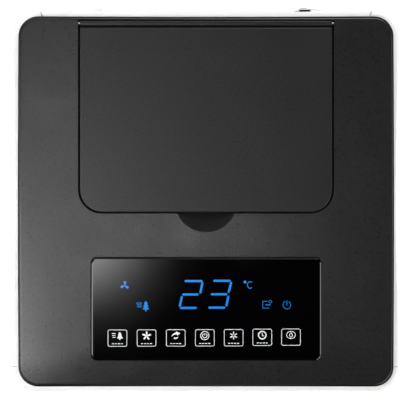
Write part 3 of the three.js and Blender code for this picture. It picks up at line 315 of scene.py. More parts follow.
# A darker, rougher and less glossy black than the deck, put as painted shade in the gaps, channels and
# hollows, and in the finger notch, where it is partly a rougher grain and partly painted shade: it swallows
# light
paintedShadeAbs = makeFinish(
    "cutterRoughBlackAbs", "#080808", 0.75, 1.0, 0.02, "#070707", "#0b0b0b", 0.05,
    settings={"Specular IOR Level": 0.2},
)
# Plain inner mouldings, semi-matt with slow clouds in the gloss
darkPp = makeFinish("mouldedDarkPolypropylene", "#232427", 0.5, 1.4, 0.01, "#202124", "#27282b", 0.06)
greyAbs = makeFinish("mouldedGreyAbs", "#9a9c9f", 0.48, 1.2, 0.008, "#95979a", "#a0a2a5", 0.05)
paleAbs = makeFinish("mouldedPaleGreyAbs", "#c4c5c6", 0.42, 1.0, 0.006, "#c0c1c2", "#c9cacb", 0.04)
# Nitrile rubber and nylon: the one matt, the other with a dull waxy shine; grey rubber tread, matt and soft
rubber = makeFinish("mouldedNitrileRubber", "#1b1b1c", 0.68, 0.8, 0.02, "#181819", "#202021", 0.07)
castorNylon = makeFinish("mouldedBlackNylon", "#1c1d1f", 0.42, 1.0, 0.008, "#191a1c", "#202123", 0.05)
castorTread = makeFinish("softGreyRubberTread", "#3d3e40", 0.62, 0.7, 0.02, "#38393b", "#444547", 0.06)
# Closed-cell foam, cut to shape: dry and matt with open pores
floatFoam = makeFinish("closedCellOrangeFoam", "#d4682c", 0.75, 1.6, 0.06, "#c75f27", "#de7636", 0.08)
# Zinc-plated steel, drawn and brushed along X: dull silver with fine streaks
zincSteel = makeFinish(
    "zincPlatedSteel", "#c3c6ca", 0.32, 0.6, 0.004, "#b4b7bb", "#cfd2d6", 0.07, 25,
    stretch=(0.05, 1, 1), settings={"Metallic": 1.0},
)
# Natural polypropylene, blow-moulded: milky, lets light through without showing a clear picture
milkyPp = makeFinish(
    "naturalPolypropylene", "#d6e4ea", 0.42, 2.5, 0.003, "#d6e4ea", "#dfeaef", 0.05, 40,
    settings={"Transmission Weight": 0.3, "IOR": 1.49},
)
# Smoked polycarbonate, moulded and polished: a grey window with a clear shine
windowPc = makeFinish(
    "smokedPolycarbonateWindow", "#a9bcc6", 0.16, 2.5, 0.003, "#a9bcc6", "#dfeaef", 0.05, 40,
    settings={"Transmission Weight": 0.35, "IOR": 1.49},
)
# Corrugated cellulose paper, resin stiffened: tan flutes with darker hollows
padPaper = makeFinish("corrugatedCellulosePaper", "#b58a50", 0.85, 1.1, 0.05, "#a07640", "#c79b60", 0.06)
# Woven polyester net: fine dark threads
netThread = makeFinish("wovenPolyesterThread", "#2b2c2f", 0.55, 0.5, 0.02, "#242528", "#35363a", 0.08, 8)
# Tempered glass, printed black on its underside: deep black with a sharp clear gloss
blackGlass = makeClear("temperedBlackBackedGlass", "#020203", 55, 3.0, (0.35, 0.75), (0.02, 0.045))
# Screen-printed ink under the glass: even and flat, with the glass's own gloss over it
whiteInk = makeClear("screenPrintedWhiteInk", "#d9dadb", 0.5, 1.0, (0, 1), (0.06, 0.12), {
    "Emission Strength": 0.0,
})
# Blue light through a clear segment: bright and even, with the glass's gloss
blueLed = makeClear("litBlueLedSegment", "#031a30", 0.5, 1.0, (0, 1), (0.06, 0.12), {
    "Emission Strength": 1.0, "Emission Color": linear("#0d84de"),
})
# Solder mask over glass-fibre board: glossy green with a faint cross weave
boardGreen = makeBoardGreen()
print("materials ready")


# Mesh helpers. A cutting shape runs past what it cuts by the overrun
overrun = 5


def newObject(name, mesh, material=None, body=None):
    if material:
        mesh.materials.append(material)
    piece = bpy.data.objects.new(name, mesh)
    scene.collection.objects.link(piece)
    if body:
        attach(piece, body)
    return piece


@contextmanager
def opened(mesh, source=None):
    # the editable form of a mesh, or of the source that it's made from, written back at the end of the block
    work = bmesh.new()
    work.from_mesh(source or mesh)
    yield work
    work.to_mesh(mesh)
    work.free()


def meshOf(name, vertices, faces, merge=0):
    mesh = bpy.data.meshes.new(name)
    mesh.from_pydata([tuple(c * mm for c in v) for v in vertices], [], faces)
    with opened(mesh) as work:
        bmesh.ops.recalc_face_normals(work, faces=work.faces)
        if merge:
            bmesh.ops.remove_doubles(work, verts=work.verts, dist=merge * mm)
            bmesh.ops.recalc_face_normals(work, faces=work.faces)
    return mesh


def slabFaces(count, first=0):
    # two equal outlines, one after the other, with a wall between them
    near, far = range(first, first + count), range(first + count, first + 2 * count)
    walls = [(near[i], near[(i + 1) % count], far[(i + 1) % count], far[i]) for i in range(count)]
    return [tuple(near), tuple(far), *walls]


def ringFaces(rings, size, looped=True, tubular=True):
    # walls from each ring of points to the next, with an end cap at both ends of an open run of them
    faces = []
    for i in range(rings if looped else rings - 1):
        near, far = i * size, (i + 1) % rings * size
        for k in range(size if tubular else size - 1):
            after = (k + 1) % size
            faces.append((near + k, near + after, far + after, far + k))
    if not looped:
        faces += [tuple(range(size)), tuple(range((rings - 1) * size, rings * size))]
    return faces


def prism(name, outline, low, high, axis=2):
    # a flat outline, drawn out along an axis from one place to another
    points = [(*spot[:axis], level, *spot[axis:]) for level in (low, high) for spot in outline]
    return meshOf(name, points, slabFaces(len(outline)))


def boxMesh(name, x, y, z):
    return prism(name, [(x[0], y[0]), (x[1], y[0]), (x[1], y[1]), (x[0], y[1])], z[0], z[1])


def arc(centre, radius, start, end, steps):
    turn = (end - start) / steps
    return [
        (centre[0] + radius * math.cos(math.radians(start + turn * i)),
         centre[1] + radius * math.sin(math.radians(start + turn * i)))
        for i in range(steps + 1)
    ]


def roundedRectangle(x, y, radius, rearRadius=None, steps=12):
    rear = radius if rearRadius is None else rearRadius
    points = arc((x[1] - radius, y[0] + radius), radius, -90, 0, steps)
    if rear:
        points += arc((x[1] - rear, y[1] - rear), rear, 0, 90, steps)
        points += arc((x[0] + rear, y[1] - rear), rear, 90, 180, steps)
    else:
        points += [(x[1], y[1]), (x[0], y[1])]
    return points + arc((x[0] + radius, y[0] + radius), radius, 180, 270, steps)


def sweep(name, path, section):
    # carries a closed section of (inset, height) along an outline of (x, y, outward x, outward y)
    vertices = [(x - nx * inset, y - ny * inset, z) for x, y, nx, ny in path for inset, z in section]
    return meshOf(name, vertices, ringFaces(len(path), len(section), looped=False))


def withNormals(points, closed=True):
    # the same outline with its outward direction at each point, for a path that runs anticlockwise
    path = []
    for i, (x, y) in enumerate(points):
        before = points[i - 1] if closed or i else points[i]
        after = points[(i + 1) % len(points)] if closed or i + 1 < len(points) else points[i]
        along = Vector((after[0] - before[0], after[1] - before[1])).normalized()
        path.append((x, y, along.y, -along.x))
    return path


def lathe(name, profile, centre, axis, steps=48):
    # turns a closed profile of (radius, place along the axis) about an axis through a centre
    turnTo = Vector((0, 0, 1)).rotation_difference(Vector(axis)).to_matrix()
    vertices = []
    for i in range(steps):
        angle = 2 * math.pi * i / steps
        for radius, along in profile:
            spot = turnTo @ Vector((radius * math.cos(angle), radius * math.sin(angle), along))
            vertices.append(tuple(spot + Vector(centre)))
    return meshOf(name, vertices, ringFaces(steps, len(profile)), merge=0.002)


def rod(name, centre, axis, radius, ends, steps=32):
    low, high = ends
    return lathe(name, [(0, low), (radius, low), (radius, high), (0, high)], centre, axis, steps)


def applied(piece):
    # bakes the live modifiers into the piece's own mesh
    bpy.context.view_layer.update()
    whole = bpy.data.meshes.new_from_object(piece.evaluated_get(bpy.context.evaluated_depsgraph_get()))
    piece.modifiers.clear()
    piece.data = whole
    return piece


def combine(piece, cutters, operation="DIFFERENCE"):
    tools = []
    for i, cutter in enumerate(cutters):
        tools.append(newObject(f"{piece.name}Tool{i}", cutter))
        change = piece.modifiers.new(f"cut{i}", "BOOLEAN")
        change.operation = operation
        change.solver = "EXACT"
        change.object = tools[-1]
    applied(piece)
    for tool in tools:
        bpy.data.objects.remove(tool, do_unlink=True)
    return piece


def carved(mesh, cutters):
    # a shape that is cut before it is used to cut or join
    scrap = combine(newObject("scrap", mesh), cutters)
    result = scrap.data.copy()
    bpy.data.objects.remove(scrap, do_unlink=True)
    return result


def finishEdges(piece, width, sharpest=40, segments=2, smoothTo=32, where=None):
    # breaks the sharp edges, all of them or those that a rule about a place picks, and smooths the faces
    if width:
        with opened(piece.data) as work:
            layer = work.edges.layers.float.new("bevel_weight_edge")
            for edge in work.edges:
                sharp = len(edge.link_faces) == 2 and edge.calc_face_angle(0) > math.radians(sharpest)
                if sharp and (not where or all(where(*(v.co / mm)) for v in edge.verts)):
                    edge[layer] = 1
        bevel = piece.modifiers.new("edges", "BEVEL")
        bevel.width = width * mm
        bevel.segments = segments
        bevel.limit_method = "WEIGHT"
        bevel.use_clamp_overlap = True
        applied(piece)
    mesh = piece.data
    for polygon in mesh.polygons:
        polygon.use_smooth = True
    mesh.set_sharp_from_angle(angle=math.radians(smoothTo))
    # large faces keep their own direction, so light runs evenly over them up to the softened edge
    even = piece.modifiers.new("even", "WEIGHTED_NORMAL")
    even.keep_sharp = True
    even.weight = 100
    return applied(piece)


def dressFaces(piece, material, rule):
    # gives the faces whose middle meets a rule about its place a material of their own; every call here uses
    # it for painted shade, a darker rougher black in gaps and hollows
    piece.data.materials.append(material)
    last = len(piece.data.materials) - 1
    for polygon in piece.data.polygons:
        if rule(*(polygon.center / mm)):
            polygon.material_index = last


joinWithin, flatWithin = 0.01, 0.6  # millimetres between equal corners, degrees between equal faces
bodyOf = {
    node: body for body, empty in frame["bodies"].items() for node in nodes if nodes[node].parent == empty
}


def softened(node, material, width):
    # a CAD node's own shape, with its loose triangles joined and its edges broken as on a moulding
    mesh = bpy.data.meshes.new(node)
    with opened(mesh, nodes[node].data) as work:
        bmesh.ops.remove_doubles(work, verts=work.verts, dist=joinWithin * mm)
        flat = math.radians(flatWithin)
        bmesh.ops.dissolve_limit(work, angle_limit=flat, verts=work.verts, edges=work.edges)
    piece = newObject(f"{node}_moulded", mesh, material, bodyOf[node])
    finishEdges(piece, width)
    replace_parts(piece, node)


def copiesTree():
    # Geometry Nodes: repeats a shape with a step and a turn from each copy to the next
    tree = bpy.data.node_groups.new("copies", "GeometryNodeTree")
    sockets = {
        "Shape": "NodeSocketObject", "Count": "NodeSocketInt", "Start": "NodeSocketVector",
        "Step": "NodeSocketVector", "Turn": "NodeSocketVector", "First Turn": "NodeSocketVector",
        "Finish": "NodeSocketMaterial",
    }
    for label, kind in sockets.items():
        tree.interface.new_socket(label, in_out="INPUT", socket_type=kind)
    tree.interface.new_socket("Geometry", in_out="OUTPUT", socket_type="NodeSocketGeometry")
    given = tree.nodes.new("NodeGroupInput").outputs
    line = addNode(tree, "GeometryNodeMeshLine", {"mode": "OFFSET"}, {
        "Count": given["Count"], "Start Location": given["Start"], "Offset": given["Step"],
    })
    shape = addNode(tree, "GeometryNodeObjectInfo", links={"Object": given["Shape"]})
    index = addNode(tree, "GeometryNodeInputIndex")
    turned = addNode(tree, "ShaderNodeVectorMath", {"operation": "SCALE"}, {
        "Vector": given["Turn"], "Scale": index,
    })
    whole = addNode(tree, "ShaderNodeVectorMath", {"operation": "ADD"}, {0: turned, 1: given["First Turn"]})
    placed = addNode(tree, "GeometryNodeInstanceOnPoints", links={
        "Points": line, "Instance": shape.outputs["Geometry"], "Rotation": whole,
    })
    real = addNode(tree, "GeometryNodeRealizeInstances", links={"Geometry": placed})
    dressed = addNode(tree, "GeometryNodeSetMaterial", links={"Geometry": real, "Material": given["Finish"]})
    addNode(tree, "NodeGroupOutput", links={"Geometry": dressed})
    return tree


copies = copiesTree()


def repeated(
    name, shape, material, body, count, start, step=(0, 0, 0), turn=(0, 0, 0), firstTurn=(0, 0, 0),
):
    # one mesh of equal copies, steps in millimetres and turns in degrees
    pattern = newObject(f"{name}_pattern", shape)
    piece = newObject(name, bpy.data.meshes.new(name))
    grow = piece.modifiers.new("copies", "NODES")
    grow.node_group = copies
    values = {
        "Shape": pattern, "Count": count, "Start": [v * mm for v in start], "Step": [v * mm for v in step],
        "Turn": [math.radians(v) for v in turn], "First Turn": [math.radians(v) for v in firstTurn],
        "Finish": material,
    }
    for item in copies.interface.items_tree:
        if item.in_out == "INPUT":
            grow[item.identifier] = values[item.name]
    applied(piece)
    bpy.data.objects.remove(pattern, do_unlink=True)
    finishEdges(piece, 0, smoothTo=40)
    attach(piece, body)
    return piece


# Cabinet: the plan, its waist and its corners, shared by the front, the sides and the rear
cabinet = {
    "halfWidth": 165, "front": -165, "rear": 160, "bottom": 62, "top": 733, "corner": 21, "cornerSteps": 24,
    "pitch": 12, "wall": 3, "flange": 15, "flangeThickness": 3, "rounding": 1.1, "edge": 0.3,
    "seam": 0.5, "rearSeam": 141.5, "rearGap": 0.8, "seamSlant": 0.34,
}
# how far the sides draw in, by place from front to rear, as measured on the photograph
waistLine = [
    (-144, 0), (-128, 0), (-112, 0.15), (-87, 0.8), (-61, 1.6), (-35, 2.1), (-2, 2.45), (41, 2.05),
    (67, 1.55), (92, 1.0), (118, 0.4), (134, 0.05), (139, 0),
]


def spaced(start, end, pitch):
    count = max(1, round(math.dist(start, end) / pitch))
    return [tuple(a + (b - a) * i / count for a, b in zip(start, end)) for i in range(count + 1)]


def smoothLine(points, steps):
    # a smooth curve that runs through every point
    whole = [points[0], *points, points[-1]]
    line = []
    for before, start, end, after in zip(whole, whole[1:], whole[2:], whole[3:]):
        for i in range(steps):
            t = i / steps
            line.append(tuple(
                0.5 * (2 * b + (c - a) * t + (2 * a - 5 * b + 4 * c - d) * t * t
                       + (3 * b - a - 3 * c + d) * t ** 3)
                for a, b, c, d in zip(before, start, end, after)
            ))
    return line + [points[-1]]


def cabinetPaths():
    c = cabinet
    half, corner, steps, gap = c["halfWidth"], c["corner"], c["cornerSteps"], c["seam"] / 2
    sideStart, sideEnd = c["front"] + corner, c["rear"] - corner
    front = [(-half, sideStart - gap)] + arc((-half + corner, sideStart), corner, 180, 270, steps)[1:]
    front += spaced(front[-1], (half - corner, c["front"]), c["pitch"])[1:-1]
    front += arc((half - corner, sideStart), corner, 270, 360, steps)[:-1] + [(half, sideStart - gap)]
    side = [(half - max(0, inset), y) for y, inset in smoothLine(waistLine, 5)]
    side[0] = (half, sideStart + gap)
    rearGap = c["rearGap"] / 2
    side += arc((half - corner, sideEnd), corner, 0, 90, steps)[1:] + [(c["rearSeam"] + rearGap, c["rear"])]
    rear = spaced((c["rearSeam"] - rearGap, c["rear"]), (-c["rearSeam"] + rearGap, c["rear"]), c["pitch"])
    right, back = withNormals(side, False), withNormals(rear, False)
    slant = c["seamSlant"]
    right[-1] = (*right[-1][:2], slant, 1)
    back[0], back[-1] = (*back[0][:2], slant, 1), (*back[-1][:2], -slant, 1)
    left = [(-x, y, -nx, ny) for x, y, nx, ny in reversed(right)]
    return {"front": withNormals(front, False), "right": right, "rear": back, "left": left}


def wallSection():
    c = cabinet
    rounding, under = c["rounding"], c["top"] - c["flangeThickness"]
    section = [(0, c["bottom"]), (0, c["top"] - rounding)]
    section += [(rounding + x, c["top"] - rounding + y) for x, y in arc((0, 0), rounding, 180, 90, 8)[1:]]
    section += [(c["flange"], c["top"]), (c["flange"], under)]
    return section + [(c["wall"], under), (c["wall"], c["bottom"])]


paths = cabinetPaths()
section = wallSection()
frontHoles = {  # half width, bottom, top and depth
    "outlet": (125.4, 519.6, 690.4, 30), "window": (6.3, 89.7, 210.3, 30), "groove": (143.5, 498.4, 500, 0.8),
}


def makeFrontShell():
    piece = newObject("front_casing", sweep("frontShell", paths["front"], section), whiteAbs, "cabinet")
    face = cabinet["front"]
    combine(piece, [
        boxMesh(name, (-half, half), (face - overrun, face + depth), (low, high))
        for name, (half, low, high, depth) in frontHoles.items()
    ])
    finishEdges(piece, cabinet["edge"])
    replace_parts(piece, "front_shell")


# Hand grips: rounded pockets in both sides
grip = {"in": 136.1, "y": (-32.5, 57.5), "z": (591, 623), "wall": 2, "corner": 7, "sink": 1.5}


def makeSidePanel(name, side):
    piece = newObject(f"side_casing_{name}", sweep(name, paths[name], section), whiteAbs, "cabinet")
    inner = cabinet["halfWidth"] - max(inset for y, inset in waistLine) - cabinet["wall"]
    wall, corner, (front, rear), (low, high) = grip["wall"], grip["corner"], grip["y"], grip["z"]
    outside = sorted((side * (grip["in"] - wall), side * (inner + grip["sink"])))
    inside = sorted((side * grip["in"], side * (cabinet["halfWidth"] + overrun)))
    cup = roundedRectangle((front - wall, rear + wall), (low - wall, high + wall), corner + wall, steps=6)
    hollow = roundedRectangle(grip["y"], grip["z"], corner, steps=6)
    combine(piece, [prism("cup", cup, *outside, axis=0)], "UNION")
    combine(piece, [prism("hollow", hollow, *inside, axis=0)])
    finishEdges(piece, cabinet["edge"])
    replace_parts(piece, f"side_panel_{name}")


# Rear panel: openings for the tank and the filter, the shallow dip at the top and the latch's hole
rearPanel = {
    "openingHalf": 122, "tankTop": 238, "tankDepth": 30, "filter": (259.7, 716), "ring": 3, "ringFront": 142,
    "ringSink": 1.5, "dipHalf": 90, "dipDepth": 1, "drill": 20,
    "bores": {"latch": (0, 247.35, 3.3), "gland": (-100, 247.4, 6.7)},
}


def makeRearPanel():
    p, c, rear = rearPanel, cabinet, cabinet["rear"]
    piece = newObject("rear_casing", sweep("rearPanel", paths["rear"], section), whiteAbs, "cabinet")
    half, (low, high), ring = p["openingHalf"], p["filter"], p["ring"]
    over, tankZ, dipZ = rear + overrun, (c["bottom"] - overrun, p["tankTop"]), (high, c["top"] + overrun)
    sleeve = [(-half - ring, half + ring), (p["ringFront"], rear - p["ringSink"]), (low - ring, high + ring)]
    combine(piece, [boxMesh("sleeve", *sleeve)], "UNION")
    combine(piece, [
        boxMesh("filterHole", (-half, half), (p["ringFront"] - overrun, over), (low, high)),
        boxMesh("tankHole", (-half, half), (rear - p["tankDepth"], over), tankZ),
        boxMesh("dip", (-p["dipHalf"], p["dipHalf"]), (rear - p["dipDepth"], over), dipZ),
        *[rod(name, (x, 0, z), (0, 1, 0), radius, (rear - p["drill"], over))
          for name, (x, z, radius) in p["bores"].items()],
    ])
    finishEdges(piece, c["edge"])
    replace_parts(piece, "rear_panel")


makeFrontShell()
makeSidePanel("left", -1)
makeSidePanel("right", 1)
makeRearPanel()
print("cabinet ready")


# Top deck: grained plate with a lip, a fine groove and a rounded edge round it, the lid's opening, the hinge
# channel, the finger notch and the glass's pocket. Its sides bow and its front strip falls away a little
deck = {
    "x": (-159.75, 159.7), "y": (-160.6, 154.7), "z": (733, 740), "corner": 16.9, "edge": 0.5,
    "bow": {"side": 0.5, "rear": -0.5, "front": 0.2, "reachX": 143, "reachY": 140, "middleY": -3},
    "rim": [
        (0.45, 733.05), (0.1, 733.4), (0, 733.8), (0, 738.2), (0.05, 738.5), (0.2, 738.7), (0.4, 738.7),
        (0.55, 738.45), (0.7, 736.6), (0.9, 736.6), (1.0, 738.6), (1.09, 739.1), (1.25, 739.45),
        (1.52, 739.72), (1.9, 739.88), (2.35, 739.97), (2.8, 740),
    ],
    "lidHole": ((-108.9, 108.9), (-13.35, 148.1)), "lidHoleCorner": 20.2, "ledge": 736.5,
    "channel": ((-108.9, 108.9), (143.4, 151.6)), "channelFloor": 734.3,
    "moat": ((-106.4, 106.4), (-11.1, 160)), "moatFloor": 734,
    "mouth": ((-103.5, 103.5), (-8.2, 141.1)), "mouthCorner": 14,
    "notchY": -2.3, "notchBlock": 30, "blockZ": (728, 738), "blockCut": ((-60, 60), (-8.5, 60), (720, 745)),
    "notchBall": 44.4, "notchFloor": 731, "ballCut": ((-60, 60), (-10.2, 90), (700, 840)),
    "glassHole": ((-98.3, 98.6), (-138.6, -50.2)), "glassCorner": 5.4, "glassFloor": 738.1,
    "boardHole": ((-94.3, 94.3), (-134.8, -54.2)), "boardFloor": 734.4,
    "boxHole": ((-91, 91), (-131.5, -57.5)),
    "fallStart": -126, "fall": 0.0008, "fallStep": 4, "fallAbove": 738.4,
    # the edges that are rounded lie above a height and in a zone, apart from the notch's own
    "roundedAbove": 738.6, "roundedZone": (150, -150, 149.5), "notchZone": (28, -32, -10),
    # half width, front, rear and top of each zone given painted shade: the lid's opening with its moat and
    # channel, the finger notch, the glass's pocket, and the front lip and groove
    "paintedShadeZones": [
        (109, -13.4, 150.8, 739.3), (28, -30, -9, 739.85), (98.6, -138.7, -50.3, 739.4),
        (200, -200, -159.1, 739),
    ],
}


def bowed(outline):
    # bends the long sides of the deck's outline by a fraction of a millimetre
    d, bow = deck, deck["bow"]
    points = []
    for x, y in outline:
        alongX = 1 - min(1, abs(x) / bow["reachX"]) ** 2
        alongY = 1 - min(1, abs(y - bow["middleY"]) / bow["reachY"]) ** 2
        if x <= d["x"][0] + 0.1 or x >= d["x"][1] - 0.1:
            x += math.copysign(bow["side"] * alongY, x)
        elif y >= d["y"][1] - 0.1:
            y += bow["rear"] * alongX
        elif y <= d["y"][0] + 0.1:
            y += bow["front"] * alongX
        points.append((x, y))
    return points


def filled(outline, pitch):
    # adds points along the straight sides of an outline
    points = []
    for start, end in zip(outline, outline[1:] + outline[:1]):
        points += spaced(start, end, pitch)[:-1] if math.dist(start, end) > pitch * 1.5 else [start]
    return points


def edgedPlate(name, outline, rim):
    # a plate whose edge follows a rim of (inset, height) from its underside to its top
    path = withNormals(outline)
    size, count = len(rim), len(path)
    vertices = [(x - nx * inset, y - ny * inset, z) for x, y, nx, ny in path for inset, z in rim]
    caps = [tuple(i * size for i in range(count)), tuple(i * size + size - 1 for i in range(count))]
    return meshOf(name, vertices, caps + ringFaces(count, size, tubular=False))


def roundedRim(low, high, rounding, under=0.4, steps=5):
    rim = [(under, low), (0, low + under), (0, high - rounding)]
    for k in range(1, steps + 1):
        turn = math.radians(90 * k / steps)
        rim.append((rounding * (1 - math.cos(turn)), high - rounding * (1 - math.sin(turn))))
    return rim


def ballMesh(name, centre, radius, columns=120, rows=60):
    vertices, faces = [], []
    for i in range(1, rows):
        tilt = math.pi * i / rows
        for j in range(columns):
            turn = 2 * math.pi * j / columns
            vertices.append((
                centre[0] + radius * math.sin(tilt) * math.cos(turn),
                centre[1] + radius * math.sin(tilt) * math.sin(turn), centre[2] + radius * math.cos(tilt),
            ))
    top, bottom = len(vertices), len(vertices) + 1
    vertices += [(centre[0], centre[1], centre[2] + radius), (centre[0], centre[1], centre[2] - radius)]
    for i in range(rows - 2):
        for j in range(columns):
            a, b = i * columns + j, i * columns + (j + 1) % columns
            faces.append((a, b, b + columns, a + columns))
    last = (rows - 2) * columns
    faces += [(top, j, (j + 1) % columns) for j in range(columns)]
    faces += [(bottom, last + (j + 1) % columns, last + j) for j in range(columns)]
    return meshOf(name, vertices, faces)


def makeDeck():
    d = deck
    low, high = d["z"]
    outline = bowed(filled(roundedRectangle(d["x"], d["y"], d["corner"], steps=20), cabinet["pitch"]))
    piece = newObject("deck_plate", edgedPlate("deckPlate", outline, d["rim"]), charcoalAbs, "cabinet")
    block = rod("notchBlock", (0, d["notchY"], 0), (0, 0, 1), d["notchBlock"], d["blockZ"], 64)
    combine(piece, [carved(block, [boxMesh("blockCut", *d["blockCut"])])], "UNION")
    ball = ballMesh("bowl", (0, d["notchY"], d["notchFloor"] + d["notchBall"]), d["notchBall"])
    ball = carved(ball, [boxMesh("ballCut", *d["ballCut"])])
    lidLine = roundedRectangle(*d["lidHole"], d["lidHoleCorner"], 0, 16)
    coreCorner, over = d["lidHoleCorner"] - d["lidHole"][0][1] + d["moat"][0][1], high + overrun
    core = prism("core", roundedRectangle(*d["moat"], coreCorner, 0, 16), low - overrun, over)
    moat = carved(prism("moat", lidLine, d["moatFloor"], high), [core])
    glassLine = roundedRectangle(*d["glassHole"], d["glassCorner"], steps=8)
    combine(piece, [
        prism("lidHole", lidLine, d["ledge"], over), moat,
        boxMesh("channel", *d["channel"], (d["channelFloor"], over)),
        prism("mouth", roundedRectangle(*d["mouth"], d["mouthCorner"]), low - overrun, over), ball,
        prism("glassHole", glassLine, d["glassFloor"], over),
        boxMesh("boardHole", *d["boardHole"], (d["boardFloor"], over)),
        boxMesh("boxHole", *d["boxHole"], (low - overrun, high)),
    ])
    with opened(piece.data) as work:
        line = d["fallStart"]
        while line > d["y"][0]:
            parts = work.verts[:] + work.edges[:] + work.faces[:]
            bmesh.ops.bisect_plane(work, geom=parts, plane_co=(0, line * mm, 0), plane_no=(0, 1, 0))
            line -= d["fallStep"]
        for vertex in work.verts:
            past = d["fallStart"] - vertex.co.y / mm
            if past > 0 and vertex.co.z > d["fallAbove"] * mm:
                vertex.co.z -= d["fall"] * past * past * mm

    def within(x, y, zone):
        half, front, rear = zone
        return abs(x) < half and front < y < rear

    def openingEdge(x, y, z):
        return z > d["roundedAbove"] and within(x, y, d["roundedZone"]) and not within(x, y, d["notchZone"])

    def inPaintedShade(x, y, z):
        return any(within(x, y, zone) and z < top for *zone, top in d["paintedShadeZones"])

    finishEdges(piece, d["edge"], sharpest=28, segments=3, smoothTo=26, where=openingEdge)
    # painted shade: the gaps, the notch, the pocket and the front lip and groove take the darker rougher
    # black
    dressFaces(piece, paintedShadeAbs, inPaintedShade)
    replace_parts(piece, "top_deck")


# Fill lid: a flush plate with a rounded edge, its hinge barrel with a flat top and the ribs under it
lid = {
    "x": (-107.3, 107.3), "y": (-12, 144.9), "z": (736.8, 740), "corner": 19, "rearCorner": 0.8,
    "rounding": 0.7, "barrel": (148.85, 737.4, 2.5), "bore": 1.3, "boreEnds": (-120, 120),
    "web": (143.7, 735.4, 737), "webPaintedShade": (144, 738.6),
    "ribX": (-98, 98), "ribY": (0, 132), "ribs": 5, "ribBottom": 734.2, "ribThickness": 1.6, "edge": 0.3,
    "barrelTop": [
        (151.1, 738.7), (150.85, 739.1), (150.5, 739.45), (150.1, 739.66), (147.5, 739.66), (147.1, 739.45),
        (146.8, 739.05), (146.5, 738.5),
    ],
}


def makeLid():
    p = lid
    outline = roundedRectangle(p["x"], p["y"], p["corner"], p["rearCorner"], 16)
    plate = edgedPlate("lidPlate", outline, roundedRim(*p["z"], p["rounding"]))
    piece = newObject("lid_plate", plate, lidAbs, "lid")
    y, z, radius = p["barrel"]
    left, right = p["ribX"]
    pitch, thick = (right - left) / (p["ribs"] - 1), p["ribThickness"] / 2
    ribZ = (p["ribBottom"], p["z"][0] + 1)
    ribs = [
        boxMesh("rib", (left + pitch * i - thick, left + pitch * i + thick), p["ribY"], ribZ)
        for i in range(p["ribs"])
    ]
    ribs += [boxMesh("cross", p["ribX"], (at - thick, at + thick), ribZ) for at in p["ribY"]]
    barrel = prism("barrel", arc((y, z), radius, 180, 380, 30) + p["barrelTop"], *p["x"], axis=0)
    combine(piece, [boxMesh("web", p["x"], (p["web"][0], y), p["web"][1:]), barrel, *ribs], "UNION")
    combine(piece, [rod("bore", (0, y, z), (1, 0, 0), p["bore"], p["boreEnds"], 24)])
    finishEdges(piece, p["edge"], sharpest=50, smoothTo=36)
    webFront, webTop = p["webPaintedShade"]
    # painted shade: the web and the barrel's underside, down in the channel, take the darker rougher black
    dressFaces(piece, paintedShadeAbs, lambda x, y, z: z < webTop and y > webFront)
    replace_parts(piece, "fill_lid")


makeDeck()
makeLid()
print("deck and lid ready")

# Control glass: a thin pane with softened edges, with its printing and its lit segments flush in it
pane = {
    "x": (-97.4, 98.1), "y": (-138.2, -51), "corner": 5, "inkLow": 740.2, "inkHigh": 740.37,
    "shaded": (-52, 740.3),
    "rim": [
        (0.4, 738.15), (0, 738.5), (0, 739.62), (0.06, 739.78), (0.2, 739.9), (0.96, 740.3), (1.1, 740.34),
    ],
}


def makePane():
    outline = roundedRectangle(pane["x"], pane["y"], pane["corner"])
    piece = newObject("control_pane", edgedPlate("controlPane", outline, pane["rim"]), blackGlass, "cabinet")
    finishEdges(piece, 0, smoothTo=24)
    shadeFront, shadeTop = pane["shaded"]  # the rear edge lies in the pocket's shade
    # painted shade: the rear edge takes the darker rougher black where the pocket's shade falls
    dressFaces(piece, paintedShadeAbs, lambda x, y, z: y > shadeFront and z < shadeTop)
    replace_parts(piece, "control_glass")


makePane()


